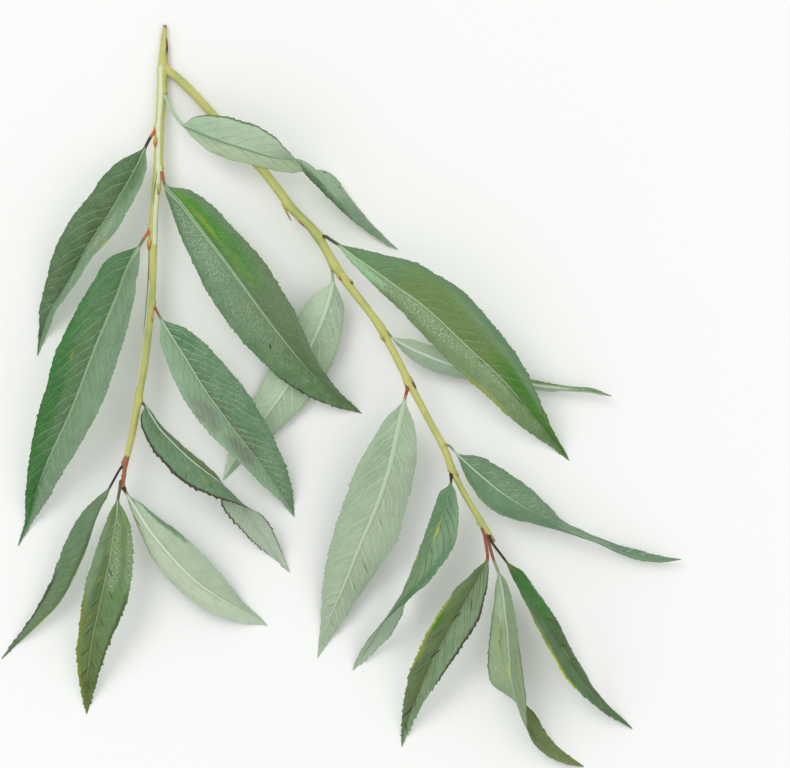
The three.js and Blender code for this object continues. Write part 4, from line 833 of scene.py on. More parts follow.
def leaf(name, spec, bearer, look):
    seed = look["seed"]
    spacing, k, c = look.get("spacing", 5.6), look.get("k", 1.05), look.get("c", 0.05)
    stalk, blade, r0 = list(spec["stalk"]), spec["blade"], spec["r"]
    root = bearer(nearest(bearer, stalk[0]))[0]
    gap = np.array(stalk[0]) - root[:3]
    if np.linalg.norm(gap) > root[3] * 0.6:
        stalk[0] = list(root[:3] + gap * (root[3] * 0.3 / np.linalg.norm(gap)))
    rows = [[*p, r0, blade[0][4] * 0.5, r0, blade[0][6] * 0.5] for p in stalk[:-1]] + [list(b) for b in blade]
    curve = Spline(rows)
    join = curve.t[len(stalk) - 1]
    # the stalk starts inside the bark of its stem
    probe = np.arange(0, join, 0.05)
    path = curve(probe)[:, :3]
    bs = np.arange(0, bearer.length, 0.4)
    bp = bearer(bs)
    dist = np.linalg.norm(path[:, None] - bp[None, :, :3], axis=2)
    inside = dist.min(1) < bp[dist.argmin(1), 3] * 0.62
    start = probe[inside].max() if inside.any() else 0.0
    near = dist.min(1) < bp[dist.argmin(1), 3] * 1.02
    out_s = probe[near].max() if near.any() else 0.0
    length = curve.length - join
    n1, n2 = max(10, int((join - start) / 0.28)), int(length / 0.27)
    S = np.r_[np.linspace(start, join, n1, endpoint=False), np.linspace(join, curve.length - 0.02, n2)]
    vals = curve(S)
    M, wl, al, wr, ar = vals[:, :3], vals[:, 3], np.radians(vals[:, 4]), vals[:, 5], np.radians(vals[:, 6])
    T, N, U = curve.axes(S)
    N = -N
    sm = S - join                                    # mm from the blade's base
    b = smoothstep(S, join - 1.0, join + 3.2)[:, None]
    end = np.clip((curve.length - S) / 12, 0.2, 1)[:, None]
    flare = 1 + 0.55 * np.exp(-np.maximum(0, S - out_s) / 0.7)[:, None] * (1 - b)
    tooth_gap, depth = look.get("tooth_gap", 2.3), look.get("tooth", 0.30)
    nH = len(HALF)
    wander = shift(sm, seed, lambda x, f, p, amp: amp * np.sin(x * f + p), np.add)
    parts = {}
    for sgn, w, ang, key in ((1, wl, al, "L"), (-1, wr, ar, "R")):
        out = N * (sgn * np.cos(ang))[:, None] + U * np.sin(ang)[:, None]
        up = N * (-sgn * np.sin(ang))[:, None] + U * np.cos(ang)[:, None]
        w = np.maximum(w, 0.16)[:, None]
        off = seed * 3 + (0 if sgn > 0 else 1)
        phase = sm / tooth_gap + 0.55 * waves(sm, 900 + off, 9.0) + (0.4 if sgn > 0 else 0.0)
        p = phase % 1.0
        saw = np.where(p < 0.80, (p / 0.80) ** 1.3, (1 - p) / 0.20)
        chance = np.random.RandomState(400 + off).uniform(0.25, 1.35, 400)[np.floor(phase).astype(int) % 400]
        size = chance * (0.8 + 0.3 * waves(sm, 300 + off, 14.0))
        env = smoothstep(sm, 1.5, 8.0) * smoothstep(length - sm, 0.3, 5.0)
        teeth = depth * 1.25 * np.clip(size, 0.08, 1.5) * env * saw - depth * 0.45 * env
        teeth += 0.20 * env * waves(sm, 500 + off, 5.0)
        teeth = teeth[:, None]
        h = HALF[None, :]
        ramp = smoothstep(h, 0.80, 1.0)
        # quilting between the side veins
        aa = w * h
        q = (sm[:, None] + wander[:, None] - k * aa - c * aa * aa) / spacing + (0.0 if sgn > 0 else 0.47)
        cell = np.abs(q % 1.0 - 0.5) * 2                     # 0 on a vein, 1 between veins
        quilt = (1 - (1 - cell) ** 2) * 4 * h * (1 - h) * b * env[:, None] * smoothstep(w, 1.0, 4.0)
        lift = spec["arch"] * w * 4 * h * (1 - h) * b * 0.9 + (0.13 * quilt - 0.05 * b * env[:, None]) * (-1 if spec["under"] else 1)
        lift = lift + (0.26 * waves(sm, 700 + off, 13.0)[:, None] * h * h * b * smoothstep(w, 1.0, 4.0) * env[:, None])
        sin, cos = np.sin(h * np.pi / 2), np.cos(h * np.pi / 2)
        rr = r0 * flare
        across = (1 - b) * rr * sin + b * (w * h + teeth * ramp)
        rib_w = 0.24 + 0.30 * (1 - np.clip(sm / length, 0, 1))[:, None]
        ridge = np.exp(-(aa / rib_w) ** 2) * end
        thin = (1 - h ** 6) * 0.13 * end
        face = np.where(spec["under"], 0.30 * ridge, -0.05 * ridge + 0.10 * np.exp(-(aa / 0.2) ** 2) * end)
        back = np.where(spec["under"], -0.05 * ridge + 0.08 * ridge, 0.30 * ridge)
        top = (1 - b) * rr * cos + b * (lift + thin + face)
        bot = -(1 - b) * rr * cos + b * (lift - thin - back)
        base = M[:, None, :] + out[:, None, :] * across[:, :, None]
        drag = T[:, None, :] * (teeth * ramp * 0.5)[:, :, None]
        parts[key] = (base + up[:, None, :] * top[:, :, None] + drag, base + up[:, None, :] * bot[:, :, None] + drag,
                      h * sgn * -1 * np.ones_like(w), aa * sgn * -1)
    # the midrib line is shared by both halves
    for i in (0, 1):
        mid = (parts["L"][i][:, 0] + parts["R"][i][:, 0]) / 2
        parts["L"][i][:, 0] = mid
    L, R = parts["L"], parts["R"]
    # round the ring: left margin over the face to the right margin, back under to the left
    ring = np.concatenate([L[0][:, ::-1], R[0][:, 1:], R[1][:, ::-1][:, 1:], L[1][:, 1:-1]], axis=1)
    tv = np.concatenate([L[2][:, ::-1], R[2][:, 1:], R[2][:, ::-1][:, 1:], L[2][:, 1:-1]], axis=1)
    av = np.concatenate([L[3][:, ::-1], R[3][:, 1:], R[3][:, ::-1][:, 1:], L[3][:, 1:-1]], axis=1)
    # the face's and the back's first and last columns meet at the margins: one row of points there
    low = ring[:, :, 2].min(1)
    ring[:, :, 2] -= np.minimum(low, 0)[:, None]
    cols = ring.shape[1]
    uu = np.repeat((sm / length)[:, None], cols, 1)
    ss = np.repeat(sm[:, None], cols, 1)
    rings, tt, aav, uuv, ssv = [ring], [tv], [av], [uu], [ss]
    tipdir = (ring[-1].mean(0) - ring[-2].mean(0))
    tipdir /= np.linalg.norm(tipdir)
    extra = cap_points(ring[-1], tipdir, ((0.55, 0.22), (0.12, 0.38), (0.001, 0.42)))
    extra0 = cap_points(ring[0], np.zeros(3), ((0.5, 0), (0.001, 0)))
    V = np.concatenate([np.array(extra0[::-1]).reshape(-1, 3), ring.reshape(-1, 3), np.array(extra).reshape(-1, 3)])
    rep = lambda x: np.concatenate([np.tile(x[0], len(extra0)), x.ravel(), np.tile(x[-1], len(extra))])
    uvs = {"leaf": np.stack([rep(uu), rep(tv)], 1), "mm": np.stack([rep(ss), rep(av)], 1)}
    margin = np.zeros_like(ring[:, :, 0])
    margin[:, 0], margin[:, 2 * (nH - 1)] = 1.0, 2.0
    margin *= (b > 0.35)
    attrs = {"foot": rep(np.repeat((S - out_s)[:, None], cols, 1)), "margin": rep(margin)}
    total = len(S) + len(extra) + len(extra0)
    F = grid_faces(total, cols, False)
    if volume(V, F) < 0:
        F = F[:, ::-1]
    col_of = np.tile(np.arange(cols), total - 1)
    face_side = (col_of >= 2 * (nH - 1)).astype(int)       # 0 = the side that is up at the base
    V[:, 2] = np.maximum(V[:, 2], 0.0)
    V[:, 0] += SHIFT[0]
    V[:, 1] += SHIFT[1]
    up_look, low_look = dict(FACE, **look.get("face", {})), dict(BACK, **look.get("back", {}))
    stalk_c, foot_c, foot_len = look.get("stalk", (118, 130, 84)), look.get("foot", (188, 112, 56)), look.get("foot_len", 1.4)

    def place(pu, pt):
        row = curve(join + pu * length)[0]
        return pu * length, pt * (row[3] if pt < 0 else row[5])

    a = leaf_material(f"{name}_face", up_look, seed, spacing, k, c, stalk_c, foot_c, foot_len, False, place)
    bmat = leaf_material(f"{name}_back", low_look, seed, spacing, k, c, stalk_c, foot_c, foot_len, True, place)
    mats = (bmat, a) if spec["under"] else (a, bmat)
    o = mesh_object(f"{name}_fine", V * MM, F, uvs, attrs, mats, face_side)
    weld(o)
    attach(o, "root")
    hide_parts(name)
    return o


def weld(o):
    """Closes the two end points of a tube and any double point, and keeps a leaf's margins crisp."""
    bm = bmesh.new()
    bm.from_mesh(o.data)
    bmesh.ops.remove_doubles(bm, verts=bm.verts, dist=2e-6)
    bmesh.ops.dissolve_degenerate(bm, dist=1e-7, edges=bm.edges)
    layer = bm.verts.layers.float.get("margin")
    if layer:
        for e in bm.edges:
            a, b = e.verts[0][layer], e.verts[1][layer]
            if a and a == b:
                e.smooth = False
    bm.to_mesh(o.data)
    bm.free()


# ---------------------------------------------------------------- stems
def bark_material(name, seed, red_from, length):
    """s is mm along the stem, v is 0 to 1 round it; the masks made with the mesh are a light painted highlight, darker
    painted shade with some darker marks, and red bark.
    """
    n = Nodes(name)
    s, v = n.uv("mm")
    obj = n.t.nodes.new("ShaderNodeTexCoord").outputs["Object"]
    pos = n.scale_colour(obj, 1000.0)
    pale, shade_and_marks, red = n.attr("pale"), n.attr("shade_and_marks"), n.attr("red")
    long = n.noise(n.xyz(n.mul(s, 0.10), n.mul(v, 14.0), 0.0), 1.0, 4.0, 0.6, seed)
    fine = n.noise(n.xyz(n.mul(s, 0.55), n.mul(v, 46.0), 0.0), 1.0, 3.0, 0.6, seed + 5.0)
    col = n.mix(long, (176, 176, 92), (203, 202, 128))
    col = n.mix(n.ramp(n.noise(pos, 0.09, 3.0, 0.6, seed + 2.0), 0.45, 0.75), col, (160, 172, 96))
    ragged = n.mul(n.sub(fine, 0.5), 0.5)
    # light strips along the stem: a painted highlight
    col = n.mix(n.mul(n.ramp(n.add(pale, ragged), 0.30, 0.68), 0.92), col, n.mix(fine, (196, 208, 172), (222, 230, 206)))
    # darker strips: painted shade along the stem's sides and in the fork's crease, with some darker marks
    col = n.mix(n.mul(n.ramp(n.add(shade_and_marks, ragged), 0.35, 0.8), 0.85), col, n.mix(fine, (88, 102, 62), (60, 70, 44)))
    # lenticels: small raised corky dots, longer round the stem than along it
    dots = n.noise(n.xyz(n.mul(s, 1.1), n.mul(v, 9.0), 0.0), 1.0, 1.0, 0.4, seed + 9.0)
    lent = n.ramp(dots, 0.71, 0.78)
    col = n.mix(n.mul(lent, 0.55), col, (150, 120, 78))
    col = n.mix(n.mul(n.ramp(n.add(red, n.mul(ragged, 0.8)), 0.25, 0.75), 0.95), col, n.mix(fine, (128, 74, 54), (170, 104, 76)))
    col = n.scale_colour(col, n.mad(n.noise(pos, 1.4, 4.0, 0.65, seed + 12.0), 0.22, 0.89))
    h = n.add(n.mul(fine, 0.5), n.mul(long, 0.7))
    h = n.add(h, n.mul(lent, 0.8))
    h = n.add(h, n.mul(n.noise(pos, 2.4, 4.0, 0.6, seed + 15.0), 0.3))
    return n.surface(col, n.mad(fine, 0.2, 0.38), h, strength=0.5, distance=0.0003, spec=0.4)


def stem(name, curve, nodes, bands, seed, red, base_end, root=None):
    """nodes = [(s, angle, size, redness)] where a stalk or shoot leaves; bands = colour bands along it.
    root = a point inside the bearing stem that the shoot grows out of."""
    if root is not None:
        longer = Spline(np.vstack([root, curve.v]))
        more = longer.length - curve.length
        nodes = [(s0 + more, *rest) for s0, *rest in nodes]
        bands = [(kind, s0 + more, s1 + more, *rest) for kind, s0, s1, *rest in bands]
        plain, curve = red, longer
        red = lambda s: plain(s - more)
    S = np.linspace(0.0, curve.length, int(curve.length / 0.42))
    vals = curve(S)
    T, N, U = curve.axes(S, 1.2)
    cols = 30
    ang = 2 * np.pi * np.arange(cols) / cols
    M, r = vals[:, :3], vals[:, 3]
    R = r[:, None] * (1 + 0.022 * np.cos(3 * ang[None, :] + 0.02 * S[:, None] + seed) + 0.016 * np.cos(5 * ang[None, :] - 0.05 * S[:, None]))
    R = R * (1 + 0.02 * waves(S, 40 + seed, 12.0)[:, None]) + 0.03 * waves(S[:, None] * 1.0 + 7 * np.sin(ang[None, :]), 60 + seed, 3.0)
    red_m = np.zeros_like(R)
    for s0, a0, size, redness in nodes:
        da = np.cos(ang[None, :] - a0)
        near = np.exp(-((S[:, None] - s0) / (1.5 * size)) ** 2)
        R = R + 0.42 * size * near * np.maximum(0, da) ** 2 + 0.10 * size * np.exp(-((S[:, None] - s0) / 1.0) ** 2)
        R = R - 0.05 * size * np.exp(-((S[:, None] - s0 - 1.9) / 0.6) ** 2)
        red_m = np.maximum(red_m, redness * np.exp(-((S[:, None] - s0 - 0.3) / 1.0) ** 2) * smoothstep(da, 0.75, 1.0))
    # a torn, tapered cut end, or a plain tapered tip
    if base_end:
        jag = 0.35 * waves(ang * 3.2, 81, 1.7) + 0.18 * np.sin(ang * 7)
        M0 = M[:, None, :] + T[:, None, :] * (np.exp(-S / 1.2)[:, None] * jag[None, :])[:, :, None]
    else:
        M0 = np.repeat(M[:, None, :], cols, 1)
    P = M0 + N[:, None, :] * (R * np.cos(ang)[None, :])[:, :, None] + U[:, None, :] * (R * np.sin(ang)[None, :])[:, :, None]
    low = P[:, :, 2].min(1)
    P[:, :, 2] -= np.minimum(low, 0)[:, None]
    pale, shade_and_marks = np.zeros_like(R), np.zeros_like(R)
    # light bands give a painted highlight, darker bands painted shade along the sides and in the fork's crease together
    # with some darker marks
    for kind, s0, s1, c0, c1, width in bands:
        u = np.clip((S - s0) / (s1 - s0), 0, 1)
        centre = np.radians(c0 + (c1 - c0) * u)[:, None]
        d = np.abs((ang[None, :] - centre + np.pi) % (2 * np.pi) - np.pi) / np.radians(width)
        inside = (smoothstep(S, s0 - 1.0, s0 + 1.5) * smoothstep(S, s1 + 1.0, s1 - 1.5))[:, None]
        m = smoothstep(d, 1.15, 0.65) * inside
        if kind == "pale": pale = np.maximum(pale, m)
        elif kind == "shade_and_marks": shade_and_marks = np.maximum(shade_and_marks, m)
        else: red_m = np.maximum(red_m, m)
    red_m = np.maximum(red_m, red(S)[:, None] * np.ones_like(R))
    d0, d1 = -T[0], T[-1]
    cap0 = cap_points(P[0], d0, ((0.8, 0.10), (0.45, 0.02), (0.2, -0.12), (0.001, -0.15)) if base_end else ((0.5, 0.0), (0.001, 0.0)))
    cap1 = cap_points(P[-1], d1, ((0.7, 0.22), (0.3, 0.36), (0.001, 0.4)))
    V = np.concatenate([np.array(cap0[::-1]).reshape(-1, 3), P.reshape(-1, 3), np.array(cap1).reshape(-1, 3)])
    rep = lambda x: np.concatenate([np.tile(x[0], len(cap0)), x.ravel(), np.tile(x[-1], len(cap1))])
    vv = np.tile(ang / (2 * np.pi), (len(S), 1))
    ss = np.repeat(S[:, None], cols, 1)
    F = grid_faces(len(S) + len(cap0) + len(cap1), cols, False)
    if volume(V, F) < 0:
        F = F[:, ::-1]
    V[:, 2] = np.maximum(V[:, 2], 0.0)
    V[:, 0] += SHIFT[0]
    V[:, 1] += SHIFT[1]
    # the seam round the stem: v is built per corner so that it doesn't run backwards
    o = mesh_object(f"{name}_fine", V * MM, F, {"mm": np.stack([rep(ss), rep(vv)], 1)},
                    {"pale": rep(pale), "shade_and_marks": rep(shade_and_marks), "red": rep(red_m)}, (bark_material(f"{name}_bark", seed, 0, curve.length),))
    uv = o.data.uv_layers["mm"].data
    got = np.empty(len(uv) * 2, np.float32)
    uv.foreach_get("uv", got)
    got = got.reshape(-1, 4, 2)
    wrap = (got[:, :, 1].max(1) - got[:, :, 1].min(1)) > 0.5
    got[wrap, :, 1] = np.where(got[wrap, :, 1] < 0.5, got[wrap, :, 1] + 1, got[wrap, :, 1])
    uv.foreach_set("uv", got.ravel())
    weld(o)
    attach(o, "root")
    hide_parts(name)
    return o


# ---------------------------------------------------------------- buds and spurs
def bud_material(name, body, tip, seed):
    n = Nodes(name)
    s, v = n.uv("mm")
    pos = n.scale_colour(n.t.nodes.new("ShaderNodeTexCoord").outputs["Object"], 1000.0)
    g = n.noise(pos, 1.1, 4.0, 0.6, seed)
    streak = n.noise(n.xyz(n.mul(s, 1.2), n.mul(v, 22.0), 0.0), 1.0, 3.0, 0.6, seed + 4.0)
    col = n.mix(n.ramp(n.add(s, n.mul(n.sub(g, 0.5), 0.4)), 0.22, 0.60), (170, 168, 88), body)
    col = n.mix(n.ramp(n.add(s, n.mul(n.sub(g, 0.5), 0.5)), 0.45, 0.95), col, tip)
    col = n.scale_colour(col, n.mad(streak, 0.6, 0.70))
    h = n.add(n.mul(streak, 0.8), n.mul(g, 0.4))
    return n.surface(col, n.mad(g, 0.2, 0.34), h, strength=0.45, distance=0.0002, spec=0.45)


def bud(name, spec, colours, seed):
    """One scale wraps the bud: a flattened teardrop with a keel, pressed to the stem."""
    curve = MAIN_CURVE if spec["on"] == "main" else SIDE_CURVE
    L, w = spec["length"], spec["width"]
    slim = L / w > 3.5
    rows, cols = 30, 22
    q = np.linspace(0, 1, rows)
    run = spec["at"] + (q * L - (1.2 if slim else 0.0)) * (-1 if spec["back"] else 1)
    axis = curve(run)
    T, N, U = curve.axes(run, 1.5)
    a = math.radians(spec["round"])
    out = N * (spec["side"] * math.cos(a)) + U * math.sin(a)
    prof = np.interp(q, [0, .06, .2, .4, .62, .82, .94, 1],
                     [.8, .95, 1, .9, .74, .55, .34, .05] if slim else [.5, .82, .98, 1, .82, .52, .28, .04])
    rise = axis[:, 3] * 0.96 + w * (0.0 if slim else 0.10 + 0.16 * prof) + spec["lean"] * L * q ** 1.6 - 0.12 * w * (q > 0.9) * (q - 0.9) * 10
    mid = axis[:, :3] + out * rise[:, None]
    d = np.gradient(mid, axis=0)
    d /= np.linalg.norm(d, axis=1)[:, None]
    e1 = out - d * np.einsum("ij,ij->i", out, d)[:, None]
    e1 /= np.linalg.norm(e1, axis=1)[:, None]
    e2 = np.cross(d, e1)
    ang = 2 * np.pi * np.arange(cols) / cols
    ca, sa = np.cos(ang), np.sin(ang)
    keel = 1 + 0.14 * np.maximum(0, ca) ** 6
    lip = 1 + 0.06 * np.sin(q * 9 + seed)[:, None] * np.maximum(0, sa[None, :])
    rad = prof[:, None] * (w / 2) * keel[None, :] * lip * (1 + 0.05 * waves(q * 9 + 0 * q, seed + 70, 2.5)[:, None])
    P = mid[:, None, :] + e1[:, None, :] * (rad * ca[None, :] * 0.85)[:, :, None] + e2[:, None, :] * (rad * sa[None, :])[:, :, None]
    d0, d1, base = d[0], d[-1], mid[0]
    cap0 = cap_points(P[0], -d0, ((0.5, 0.08), (0.001, 0.12)))
    cap1 = cap_points(P[-1], d1, ((0.001, 0.03),))
    V = np.concatenate([np.array(cap0[::-1]).reshape(-1, 3), P.reshape(-1, 3), np.array(cap1).reshape(-1, 3)])
    qq, vv = np.repeat(q[:, None], cols, 1), np.tile(ang / (2 * np.pi), (rows, 1))
    rep = lambda x: np.concatenate([np.tile(x[0], len(cap0)), x.ravel(), np.tile(x[-1], len(cap1))])
    F = grid_faces(rows + len(cap0) + len(cap1), cols, False)
    if volume(V - base, F) < 0:
        F = F[:, ::-1]
    V[:, 0] += SHIFT[0]
    V[:, 1] += SHIFT[1]
    o = mesh_object(f"{name}_fine", V * MM, F, {"mm": np.stack([rep(qq), rep(vv)], 1)}, None, (bud_material(f"{name}_scale", *colours, seed),))
    weld(o)
    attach(o, "root")
    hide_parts(name)
    return o


# ---------------------------------------------------------------- the branch
MAIN_CURVE, SIDE_CURVE = Spline(MAIN), Spline(SIDE)

